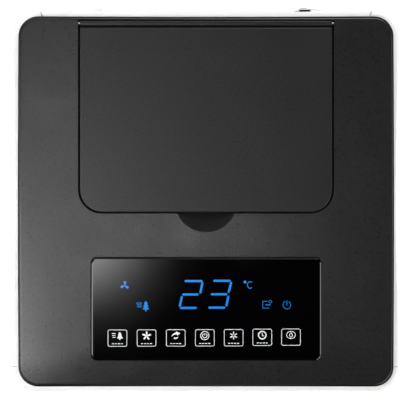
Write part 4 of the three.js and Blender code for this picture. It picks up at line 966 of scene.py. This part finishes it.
class Print:
    # gathers thin closed shapes of one colour into one mesh
    def __init__(self, name, material, slot):
        self.name, self.material, self.slot = name, material, slot
        self.vertices, self.faces = [], []

    def shape(self, outline):
        first = len(self.vertices)
        for level in (pane["inkLow"], pane["inkHigh"]):
            self.vertices += [(x, y, level) for x, y in outline]
        self.faces += slabFaces(len(outline), first)

    def blades(self, centre, count, blade):
        # equal blades round a centre, the first one upright
        for i in range(count):
            turn = math.radians(90 + 360 / count * i)
            along = Vector((math.cos(turn), math.sin(turn)))
            across = Vector((-math.sin(turn), math.cos(turn)))
            self.shape([tuple(Vector(centre) + along * a + across * b) for a, b in blade])

    def line(self, points, width, closed=False):
        # a line of even width with mitred corners
        count = len(points)
        left, right = [], []
        for i, point in enumerate(points):
            before = points[i - 1] if closed or i else None
            after = points[(i + 1) % count] if closed or i + 1 < count else None
            ways = [Vector(b) - Vector(a) for a, b in ((before, point), (point, after)) if a and b]
            sides = [Vector((-way.y, way.x)).normalized() for way in ways]
            across = sum(sides, Vector((0, 0))).normalized()
            reach = width / 2 / max(0.5, across.dot(sides[0]))
            left.append(tuple(Vector(point) + across * reach))
            right.append(tuple(Vector(point) - across * reach))
        for i in range(count if closed else count - 1):
            j = (i + 1) % count
            self.shape([right[i], right[j], left[j], left[i]])

    def ring(self, centre, radiusX, radiusY, width, steps=28, start=0, end=360):
        turn = (end - start) / steps
        angles = [math.radians(start + turn * i) for i in range(steps + (end - start != 360))]
        points = [(centre[0] + radiusX * math.cos(a), centre[1] + radiusY * math.sin(a)) for a in angles]
        self.line(points, width, end - start == 360)

    def disc(self, centre, radius, steps=20):
        self.shape(arc(centre, radius, 0, 360 - 360 / steps, steps - 1))

    def sign(self, place, plan):
        # the parts of a sign, each given by steps to the right and down from the sign's place on the grid
        for width, *steps in plan.get("lines", []):
            self.line(around(place, steps), width)
        for width, *steps in plan.get("loops", []):
            self.line(around(place, steps), width, True)
        for steps in plan.get("fills", []):
            self.shape(around(place, reversed(steps)))
        for kind, draw in (("rings", self.ring), ("discs", self.disc), ("blades", self.blades)):
            for step, *sizes in plan.get(kind, []):
                draw(*around(place, [step]), *sizes)

    def make(self):
        printed = newObject(self.name, meshOf(self.name, self.vertices, self.faces), self.material, "cabinet")


# Places on the pane are read in millimetres from the photograph's own grid
grid = {"centreX": 205.99, "centreY": 200.88, "step": 0.8515, "offsetY": -2.5}


def spot(column, row):
    return (column - grid["centreX"]) * grid["step"], (grid["centreY"] - row) * grid["step"] + grid["offsetY"]


def around(place, steps):
    return [spot(place[0] + right, place[1] + down) for right, down in steps]


segment = {"width": 1.85, "tip": 0.45, "point": 0.6, "shoulder": 0.4}
digitStrokes = [
    [(184.9, 281), (202.1, 281)], [(202.5, 282.3), (200.3, 293.1)], [(182.6, 294.4), (198.3, 294.4)],
    [(182.0, 296.3), (179.7, 306.3)], [(180.3, 307.8), (196.4, 307.8)],
    [(213.7, 280.7), (230.3, 280.7)], [(231.3, 282.0), (228.6, 292.3)], [(211.2, 294.2), (227, 294.2)],
    [(228.4, 296.0), (226.3, 306.0)], [(208.7, 307.5), (224.9, 307.5)],
]
fanBlade = [(0.3, -0.4), (1.6, -1.15), (3.4, -1.3), (4.0, -0.1), (3.2, 0.9), (1.6, 0.6), (0.3, 0.4)]
# Signs: lines and loops by width and points, fills by points, rings by centre, radii, width, steps, start and
# end, discs by centre and radius, and blades by centre, count and outline in millimetres
litSigns = {
    "lines": [
        (0.55, (136.2, 303.2), (139, 302.7), (141.9, 303.2)),
        (0.55, (136.7, 305.1), (139, 304.6), (141.9, 305.1)),
        (0.55, (137.2, 307), (139, 306.5), (141.9, 307)), (0.55, (286.8, 300.6), (286.8, 304.9)),
        (0.45, (267.5, 301.2), (262.7, 301.2), (262.7, 308), (269.2, 308)),
        (0.7, (265.5, 304.8), (270.4, 304.8)),
    ],
    "fills": [[
        (145.9, 300.7), (148, 303.6), (146.9, 303.6), (148.7, 306.4), (147.3, 306.4), (149.3, 309.3),
        (146.6, 309.3), (146.6, 311.2), (145.2, 311.2), (145.2, 309.3), (142.6, 309.3), (144.5, 306.4),
        (143.1, 306.4), (144.9, 303.6), (143.8, 303.6),
    ]],
    "rings": [
        ((250.1, 284.9), 2.3, 2.8, 0.6, 28, 50, 310), ((270.3, 301.6), 1.2, 1.2, 0.4, 14),
        ((286.8, 304.9), 3.3, 3.4, 0.45, 28, 115, 425),
    ],
    "discs": [((245, 281.9), 1.25)], "blades": [((124.8, 285.4), 3, fanBlade)],
}


def bar(ink, start, end):
    # one segment with pointed ends
    a, b = Vector(start), Vector(end)
    along = (b - a).normalized()
    across = Vector((-along.y, along.x)) * segment["width"] / 2
    tip = along * segment["width"] * segment["tip"]
    point, shoulder = tip * segment["point"], tip * segment["shoulder"]
    ink.shape([tuple(p) for p in (
        a - point, a - across + shoulder, b - across - shoulder, b + point, b + across - shoulder,
        a + across + shoulder,
    )])


def makeDisplay():
    ink = Print("lit_segments", blueLed, "display_blue")
    for start, end in digitStrokes:
        bar(ink, spot(*start), spot(*end))
    ink.sign((0, 0), litSigns)
    ink.make()


keys = {
    "left": [108.1, 137.2, 166.4, 195.4, 224.2, 252.8, 281.5],
    "top": [329.8, 329.7, 329.6, 329.5, 329.4, 329.0, 328.8],
    "width": 18.8, "height": 16.4, "corner": 1.4, "line": 0.46, "signRow": 6.0,
    "tickRow": 13.8, "tickPitch": 3.0, "tickHalf": 1.0, "tickLine": 0.6,
}
wideBlade = [(0.2, -0.35), (1.8, -0.9), (3.6, -0.75), (3.9, 0.1), (3.3, 0.7), (1.6, 0.5), (0.2, 0.3)]
frostRay = [(0, -0.425), (3.3, -0.425), (3.3, 0.425), (0, 0.425)]
keySigns = [
    {  # wind in a tree
        "lines": [
            (0.5, (-5.6, -2.2), (-3.6, -2.5), (-1.9, -2.2)), (0.5, (-5.2, -0.3), (-3.6, -0.6), (-1.9, -0.3)),
            (0.5, (-4.8, 1.6), (-3.6, 1.3), (-1.9, 1.6)),
        ],
        "fills": [[
            (2, -3.9), (3.5, -2.6), (4.2, 0.2), (5.6, 2.4), (3.2, 2.6), (3.0, 3.9), (1.8, 3.9), (1.5, 2.6),
            (-0.4, 2.4), (0.8, 0.2), (1.1, -2.6),
        ]],
    },
    {"blades": [((0, 0), 5, wideBlade)]},
    {"fills": [  # two arrows of the swing
        [(-4.6, 1.0), (-3.0, -1.6), (-0.2, -3.2), (0.6, -4.3), (4.6, -2.4), (1.6, -0.2), (0.9, -1.5),
         (-1.8, -0.8)],
        [(-2.4, 2.2), (-0.8, 1.3), (-0.6, 2.0), (1.6, 1.6), (2.6, 0.6), (1.8, 2.6), (-0.4, 3.1), (-0.6, 3.8)],
    ]},
    {"lines": [(0.6, (0, -2.6), (0, 0))],
     "rings": [((0, 0), 3.5, 3.5, 0.6, 32), ((0, 0), 1.9, 1.9, 0.65, 20, 125, 415)]},
    {"blades": [((0, 0), 6, frostRay)], "discs": [((0, 0), 0.9)]},
    {"lines": [(0.6, (0, -2.2), (0, 0.6), (1.9, 0.6))], "rings": [((0, 0), 3.2, 3.2, 0.95, 32)]},
    {  # a drop of water
        "loops": [(
            0.5, (0, -2.6), (1.2, -0.6), (1.5, 0.8), (0.9, 1.9), (0, 2.3), (-0.9, 1.9), (-1.5, 0.8),
            (-1.2, -0.6),
        )],
        "rings": [((0, 0), 3.7, 3.1, 0.55, 32)],
    },
]


def makeKeys():
    ink = Print("key_printing", whiteInk, "control_glass")
    width, height = keys["width"] * grid["step"], keys["height"] * grid["step"]
    row, half, pitch = keys["tickRow"] - keys["signRow"], keys["tickHalf"], keys["tickPitch"]
    tickSteps = [k * pitch for k in (-1.5, -0.5, 0.5, 1.5)]
    for left, top, sign in zip(keys["left"], keys["top"], keySigns):
        x, y = spot(left, top)
        border = roundedRectangle((x, x + width), (y - height, y), keys["corner"], steps=5)
        ink.line(border, keys["line"], True)
        middle = (left + keys["width"] / 2, top + keys["signRow"])
        ink.sign(middle, sign)
        if left != keys["left"][-1]:  # short plain ticks under six of the signs
            ticks = [(keys["tickLine"], (k - half, row), (k + half, row)) for k in tickSteps]
            ink.sign(middle, {"lines": ticks})
    ink.make()


makeDisplay()
makeKeys()
print("control panel ready")

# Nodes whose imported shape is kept, with edges broken as far as each moulding's wall allows
softNodes = {
    "base_pan": (darkPp, 0.7), "tank_latch": (greyAbs, 0.6), "water_tank": (milkyPp, 0.8),
    "tank_door": (whiteAbs, 0.5), "water_pump": (darkPp, 0.5), "mid_shelf": (greyAbs, 0.4),
    "water_trough": (greyAbs, 0.4), "outlet_frame": (charcoalAbs, 0.6), "louvre_link": (greyAbs, 0.3),
    "vane_link": (greyAbs, 0.3), "swing_motor": (zincSteel, 0.4), "blower_scroll": (greyAbs, 0.4),
    "scroll_cover": (greyAbs, 0.3), "ice_tray": (greyAbs, 0.5), "control_box": (darkPp, 0.5),
    "display_board": (boardGreen, 0.15), "display_module": (darkPp, 0.3), "level_window": (windowPc, 0.4),
    **{f"{kind}_{i}": (charcoalAbs, 0.35) for kind in ("louvre", "vane") for i in range(1, 6)},
}
for node, (finish, width) in softNodes.items():
    softened(node, finish, width)
print("plain mouldings ready")

# Cord cleat at the rear: a low pale mound with a slot behind it, whose inside is given painted shade
cleat = {
    "x": (75.4, 91.8), "z": (718.2, 728.8), "front": 159.4, "foot": 160.2, "rear": 162.9, "steps": 20,
    "swell": 0.75, "slot": ((80.0, 88.8), (159.2, 160.9)), "slotDepth": 8, "dark": 0.2, "edge": 0.3,
}


def makeCleat():
    c = cleat
    (left, right), (low, high), foot, steps = c["x"], c["z"], c["foot"], c["steps"]
    middle, reach = (left + right) / 2, (right - left) / 2
    outline = [(left, c["front"]), (right, c["front"])]
    for k in range(1, steps):
        share = math.cos(math.pi * k / steps)
        rise = (math.cos(math.pi * share) + 1) / 2
        outline.append((middle + reach * share, foot + (c["rear"] - foot) * rise ** c["swell"]))
    piece = newObject("cord_cleat", prism("cleat", outline, low, high), paleAbs, "cabinet")
    combine(piece, [boxMesh("slot", *c["slot"], (high - c["slotDepth"], high + overrun))])
    finishEdges(piece, c["edge"])
    dark, (slotX, slotY) = c["dark"], c["slot"]

    def inSlot(x, y, z):
        inside = slotX[0] - dark < x < slotX[1] + dark and y < slotY[1] + dark
        return inside and low + 1 < z < high - 2 * dark

    # painted shade: the inside of the slot takes the darker rougher black
    dressFaces(piece, paintedShadeAbs, inSlot)
    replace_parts(piece, "cord_hook")


makeCleat()


def roundPiece(name, profile, centre, axis, material, body, steps=64):
    # profile in (radius, place along the axis), measured from the centre
    piece = newObject(name, lathe(name, profile, centre, axis, steps), material, body)
    return finishEdges(piece, 0, smoothTo=40)


# Castors: nylon forks, zinc axles with domed heads and round treaded wheels. The tread is given by what it
# loses of the wheel's radius and half width, the hub by its radius and depth, and the axle's head by what it
# loses of its radius and by its height
castor = {
    "places": {
        "front_left": (-131, -123), "front_right": (131, -123),
        "rear_left": (-131, 118), "rear_right": (131, 118),
    },
    "trail": 12, "axle": 17, "wheel": 17, "half": 6.5, "pin": 3, "pinHalf": 9.8, "headRadius": 4.5,
    "edge": 0.5,
    "tread": [(0, 2.6), (0.25, 1.6), (0.9, 0.7), (1.8, 0.1), (2.6, 0)],
    "hub": [(12.6, 0), (12, 1.2), (6.6, 1.6), (6.2, 0), (3.6, 0), (3.3, 0.3)],
    "head": [(0, 0), (0, 0.7), (0.5, 1.15), (1.6, 1.38)], "headHeight": 1.4,
}


def makeCastors():
    c = castor
    half, end, height = c["half"], c["pinHalf"], c["headHeight"]
    side = [(c["wheel"] - inset, depth - half) for inset, depth in c["tread"]]
    side += [(radius, depth - half) for radius, depth in c["hub"]]
    wheel = side + [(radius, -along) for radius, along in reversed(side)]
    dome = [(c["headRadius"] - inset, -end - rise) for inset, rise in c["head"]]
    pin = [(0, end + height)] + [(radius, -along) for radius, along in reversed(dome)]
    pin += [(c["pin"], end), (c["pin"], -end)] + dome + [(0, -end - height)]
    for place, (x, y) in c["places"].items():
        centre, across, fork = (x, y + c["trail"], c["axle"]), (1, 0, 0), f"fork_{place}"
        roller = roundPiece(f"castor_roller_{place}", wheel, centre, across, castorTread, f"wheel_{place}")
        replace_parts(roller, f"castor_wheel_{place}")
        axle = roundPiece(f"castor_pin_{place}", pin, centre, across, zincSteel, fork, steps=32)
        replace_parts(axle, f"castor_axle_{place}")
        softened(f"castor_fork_{place}", castorNylon, c["edge"])


makeCastors()

# Turned pieces: profile in (radius, place), centre, axis, finish, body and the node each stands for
turnedPieces = {
    "hinge_pin": (
        [(0, -109.7), (0.7, -109.7), (1, -109.4), (1, 109.4), (0.7, 109.7), (0, 109.7)],
        (0, 148.85, 737.4), (1, 0, 0), zincSteel, "cabinet", "lid_hinge_rod"),
    "gland_rubber": (
        [(3.2, 151), (6.1, 151), (6.4, 151.3), (6.4, 160.1), (8, 160.1), (8, 160.6), (7.4, 161), (7.6, 161.4),
         (7.1, 161.8), (7.2, 162.2), (6.4, 162.8), (4.4, 163), (3.6, 162.7), (3.2, 162.2)],
        (-100, 0, 247.4), (0, 1, 0), rubber, "cabinet", "cord_gland"),
    "drain_stopper": (
        [(0, 135.2), (4.9, 135.2), (5.8, 136.2), (6, 137.2), (6, 160.1), (8.5, 160.1), (8.5, 161.8),
         (7.9, 162.7), (6.9, 163), (5.6, 162.8), (5.2, 162.1), (0, 162.1)],
        (-95, 0, 77.3), (0, 1, 0), rubber, "plug", "drain_plug"),
    "foam_float": (
        [(2.3, 65.6), (10.6, 65.6), (11.6, 66), (12, 67), (12, 76.2), (11.6, 77.2), (10.6, 77.6),
         (2.3, 77.6)],
        (-60, -140, 0), (0, 0, 1), floatFoam, "float", "level_float"),
    "shelf_grommet": (
        [(5.3, 237.7), (7.6, 237.7), (8, 238.1), (8, 240.8), (10.6, 240.8), (11, 241.2), (10.7, 242.4),
         (8.4, 243), (7.9, 248.2), (7.4, 248.7), (5.3, 248.7)],
        (90, 40, 0), (0, 0, 1), rubber, "cabinet", "hose_grommet"),
    "motor_can": (
        [(0, -144.7), (12, -144.7), (12.6, -144.1), (38.6, -144.1), (41.2, -143), (42, -140.6),
         (42, -109.7), (42.6, -108.9), (49.4, -108.9), (50, -108.3), (50, -103.3), (49.4, -102.8),
         (16, -102.8), (16, -99.2), (15.4, -98.7), (4, -98.7), (4, -62.3), (3.4, -61.7), (0, -61.7)],
        (0, 0, 382.414), (0, 1, 0), zincSteel, "cabinet", "fan_motor"),
    "wheel_disc": (
        [(4.15, -93.7), (92, -93.7), (92.4, -93.3), (92.4, -92.1), (92, -91.75), (24, -91.75), (15.5, -91),
         (14, -89), (14, -60.7), (13.2, -59.7), (4.15, -59.7)],
        (0, 0, 382.414), (0, 1, 0), darkPp, "fan", "blower_wheel"),
}
for name, (profile, centre, axis, finish, body, node) in turnedPieces.items():
    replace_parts(roundPiece(name, profile, centre, axis, finish, body), node)

# Blower cage: thirty forward-curved blades between the disc and the inlet ring
cage = {
    "centre": (0, 0, 382.414), "y": (-91.65, -25.7), "inner": 76.2, "outer": 91.6, "count": 30,
    "thickness": 0.9, "lean": 16, "leanShare": 0.62, "curl": 4.2, "steps": 8,
    "ring": [
        (75.8, -27.7), (92.2, -27.7), (92.4, -27.4), (92.4, -26), (92.1, -25.7), (75.9, -25.7), (75.6, -26),
        (75.6, -27.4),
    ],
}


def makeCage():
    c = cage
    line = []
    for k in range(c["steps"] + 1):
        share = k / c["steps"]
        along = c["inner"] + (c["outer"] - c["inner"]) * share
        turn = math.radians(c["lean"] * (share - 0.5) * c["leanShare"])
        offset = c["curl"] * 4 * share * (1 - share) / 2
        line.append((along * math.sin(turn) + offset, along * math.cos(turn)))
    half = c["thickness"] / 2
    outline = [(x - half, z) for x, z in line] + [(x + half, z) for x, z in reversed(line)]
    blade = prism("cageBlade", outline, *c["y"], axis=1)
    turn = (0, 360 / c["count"], 0)
    piece = repeated("cage_blades", blade, darkPp, "fan", c["count"], c["centre"], turn=turn)
    roundPiece("cage_ring", c["ring"], c["centre"], (0, 1, 0), darkPp, "fan")
    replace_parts(piece, "blower_cage")


makeCage()
print("turned pieces ready")

# Riser hose: a smooth tube from the shelf up and over into the trough
hose = {
    "x": 90, "y": 40, "low": 241.2, "port": 672, "bend": 22, "end": 102.9, "radius": 5, "sides": 24,
    "bendSteps": 16,
}


def makeHose():
    h = hose
    bendLow, bendEnd, sides = h["port"] - h["bend"], h["y"] + h["bend"], h["sides"]
    spine = [(h["y"], z, 0) for z in (h["low"], (h["low"] + bendLow) / 2, bendLow)]
    for k in range(1, h["bendSteps"] + 1):
        turn = math.pi / 2 * k / h["bendSteps"]
        spine.append((bendEnd - h["bend"] * math.cos(turn), bendLow + h["bend"] * math.sin(turn), turn))
    spine.append((h["end"], h["port"], math.pi / 2))
    vertices = []
    for y, z, turn in spine:
        for i in range(sides):
            around = 2 * math.pi * i / sides
            reach = h["radius"] * math.sin(around)
            x = h["x"] + h["radius"] * math.cos(around)
            vertices.append((x, y + reach * math.cos(turn), z - reach * math.sin(turn)))
    mesh = meshOf("hoseTube", vertices, ringFaces(len(spine), sides, looped=False))
    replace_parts(finishEdges(newObject("hose_tube", mesh, rubber, "cabinet"), 0), "riser_hose")


makeHose()

# Rear filter: a white frame with slats, the net behind it and the corrugated pad. The tab's outline is given
# by its place to the side and its place to the rear
filterPlan = {
    "half": 121.6, "y": (146, 160), "z": (260.1, 715.6), "border": 12, "grilleTop": 644.6, "skin": 3,
    "rib": 2.5, "mullion": 36, "mullionHalf": 1.5, "sink": 1.5, "edge": 0.5, "tabZ": (694, 712),
    "slats": 18, "chord": 11, "thick": 1.6, "tilt": 35, "slatY": 153,
    "tab": [(107, 158.5), (107, 160.3), (93, 163.5), (91, 164), (90, 163.6), (90, 158.5)],
}


def makeFilterFrame():
    f = filterPlan
    half, (front, rear), (low, high), rib = f["half"], f["y"], f["z"], f["rib"]
    inner, bottom, top = half - f["border"], low + f["border"], f["grilleTop"]
    border = boxMesh("filterBorder", (-half, half), (front, rear), (low, high))
    piece = newObject("filter_border", border, whiteAbs, "filter")
    combine(piece, [
        boxMesh("grille", (-inner, inner), (front - overrun, rear + overrun), (bottom, top)),
        boxMesh("crown", (-inner, inner), (front - overrun, rear - f["skin"]), (top + rib, high - rib)),
    ])
    added = [prism("tab", [(side * x, y) for x, y in f["tab"]], *f["tabZ"]) for side in (-1, 1)]
    for x in (-f["mullion"], f["mullion"]):
        across = (x - f["mullionHalf"], x + f["mullionHalf"])
        added.append(boxMesh("mullion", across, (front, rear - f["sink"]), (low + 1, top + 2)))
    combine(piece, added, "UNION")
    finishEdges(piece, f["edge"])
    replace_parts(piece, "filter_frame")
    chord, thick = f["chord"] / 2, f["thick"] / 2
    slat = arc((chord - thick, 0), thick, -90, 90, 6) + arc((thick - chord, 0), thick, 90, 270, 6)
    pitch = (top - bottom) / f["slats"]
    repeated("filter_slats", prism("slat", slat, -inner - 0.5, inner + 0.5, axis=0), whiteAbs, "filter",
             f["slats"], (0, f["slatY"], bottom + pitch / 2), (0, 0, pitch), firstTurn=(-f["tilt"], 0, 0))


# The net's threads lie 4 mm apart, far wider than in a real net, so that they show
netPlan = {"x": (-116, 116), "y": (145.05, 145.65), "z": (265.7, 650.2), "pitch": 4, "wire": 0.45, "hem": 3}


def makeNet():
    n = netPlan
    (left, right), (front, rear), (low, high), wire = n["x"], n["y"], n["z"], n["wire"] / 2
    across, up = round((right - left) / n["pitch"]), round((high - low) / n["pitch"])
    stepX, stepZ = (right - left) / across, (high - low) / up
    upright = boxMesh("upright", (-wire, wire), (front, rear), (low, high))
    cross = boxMesh("cross", (left, right), (front + 0.1, rear - 0.1), (-wire, wire))
    repeated("net_uprights", upright, netThread, "filter", across - 1, (left + stepX, 0, 0), (stepX, 0, 0))
    repeated("net_crosses", cross, netThread, "filter", up - 1, (0, 0, low + stepZ), (0, 0, stepZ))
    hem = newObject("net_hem", boxMesh("hem", (left, right), (front, rear), (low, high)), netThread, "filter")
    left, right, low, high = left + n["hem"], right - n["hem"], low + n["hem"], high - n["hem"]
    combine(hem, [boxMesh("mesh", (left, right), (front - overrun, rear + overrun), (low, high))])
    finishEdges(hem, 0.15)
    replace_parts(hem, "filter_net")


padPlan = {
    "x": (-119.4, 119.4), "y": (100.8, 144.6), "z": (261.2, 654.9), "sheets": 34, "wave": 11, "height": 2.9,
    "paper": 0.5, "slope": 0.9, "stepZ": 2.2, "stepY": 10.95,
}


def fluteMesh(name, slope):
    # one corrugated sheet, waved in X along a slanting direction
    q = padPlan
    (front, rear), (low, high) = q["y"], q["z"]
    columns, rows = round((rear - front) / q["stepY"]), round((high - low) / q["stepZ"])
    vertices = []
    for side in (-0.5, 0.5):
        for i in range(rows + 1):
            z = low + (high - low) * i / rows
            for j in range(columns + 1):
                y = front + (rear - front) * j / columns
                wave = q["height"] * math.sin(2 * math.pi * (z + slope * (y - front)) / q["wave"])
                vertices.append((wave + side * q["paper"], y, z))
    width, layer = columns + 1, (rows + 1) * (columns + 1)
    faces = []
    for i in range(rows):
        for j in range(columns):
            a = i * width + j
            faces.append((a, a + 1, a + width + 1, a + width))
            faces.append((layer + a, layer + a + width, layer + a + width + 1, layer + a + 1))
    border = [*range(width), *[i * width + columns for i in range(1, rows + 1)]]
    border += [rows * width + j for j in reversed(range(columns))]
    border += [i * width for i in reversed(range(1, rows))]
    for a, b in zip(border, border[1:] + border[:1]):
        faces.append((a, layer + a, layer + b, b))
    return meshOf(name, vertices, faces)


def makePad():
    q = padPlan
    room = q["height"] + q["paper"] / 2
    start, end = q["x"][0] + room, q["x"][1] - room
    pitch = (end - start) / (q["sheets"] - 1)
    made = [
        repeated(name, fluteMesh(name, slope), padPaper, "filter", q["sheets"] // 2, (start + first, 0, 0),
                 (pitch * 2, 0, 0))
        for name, slope, first in (("pad_flutes", q["slope"], 0), ("pad_counterflutes", -q["slope"], pitch))
    ]
    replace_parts(made[0], "cooling_pad")


makeFilterFrame()
makeNet()
makePad()
print("filter ready")

# Screws: pan heads with a cross recess, at the rear panel and under the base pan
screw = {
    "dome": [(0, 0), (3.1, 0), (3.1, 0.45), (2.75, 1.0), (2.0, 1.35), (0, 1.5)],
    "slot": 0.75, "slotLength": 1.9, "slotFloor": 0.6,
}


def screwMesh(direction):
    # a screw head that stands out from its seat at the origin, along Y or down Z
    half, length, depth = screw["slot"] / 2, screw["slotLength"], (screw["slotFloor"], 3)
    mesh = carved(lathe("screwHead", screw["dome"], (0, 0, 0), (0, 0, 1), 28), [
        boxMesh("slotX", (-length, length), (-half, half), depth),
        boxMesh("slotY", (-half, half), (-length, length), depth),
    ])
    mesh.transform(Vector((0, 0, 1)).rotation_difference(Vector(direction)).to_matrix().to_4x4())
    return mesh


screwRows = {
    "rear_screws_left": ((0, 1, 0), 4, (-131.5, 160, 96), (0, 0, 200)),
    "rear_screws_right": ((0, 1, 0), 4, (131.5, 160, 96), (0, 0, 200)),
    "pan_screws_front": ((0, 0, -1), 3, (-90, -140, 50), (90, 0, 0)),
    "pan_screws_rear": ((0, 0, -1), 3, (-90, 136, 50), (90, 0, 0)),
}
for name, (direction, count, start, step) in screwRows.items():
    repeated(name, screwMesh(direction), zincSteel, "cabinet", count, start, step)

# Level window: plain ticks printed on its face, a longer one at every fifth
ticks = {
    "low": 102, "pitch": 9.6, "left": -4.4, "inside": -164.9,
    "rows": {"level_ticks": (11, 1, 1.6, 0.3, -164.99), "level_marks": (3, 5, 3.2, 0.35, -164.995)},
}
for name, (count, every, length, half, face) in ticks["rows"].items():
    tick = boxMesh("tick", (ticks["left"], ticks["left"] + length), (face, ticks["inside"]), (-half, half))
    repeated(name, tick, charcoalAbs, "cabinet", count, (0, 0, ticks["low"]), (0, 0, ticks["pitch"] * every))

# Touch springs between the board and the glass, one under each key
spring = {
    "profile": [
        (1.9, 736.05), (3.1, 736.05), (3.1, 736.5), (2.3, 737), (3.0, 737.5), (3.0, 738), (2.2, 738),
    ],
    "count": 7, "start": (-74.5, -120, 0), "step": (24.75, 0, 0),
}
repeated("touch_springs", lathe("spring", spring["profile"], (0, 0, 0), (0, 0, 1), 20), zincSteel, "cabinet",
         spring["count"], spring["start"], spring["step"])
print("small parts ready")
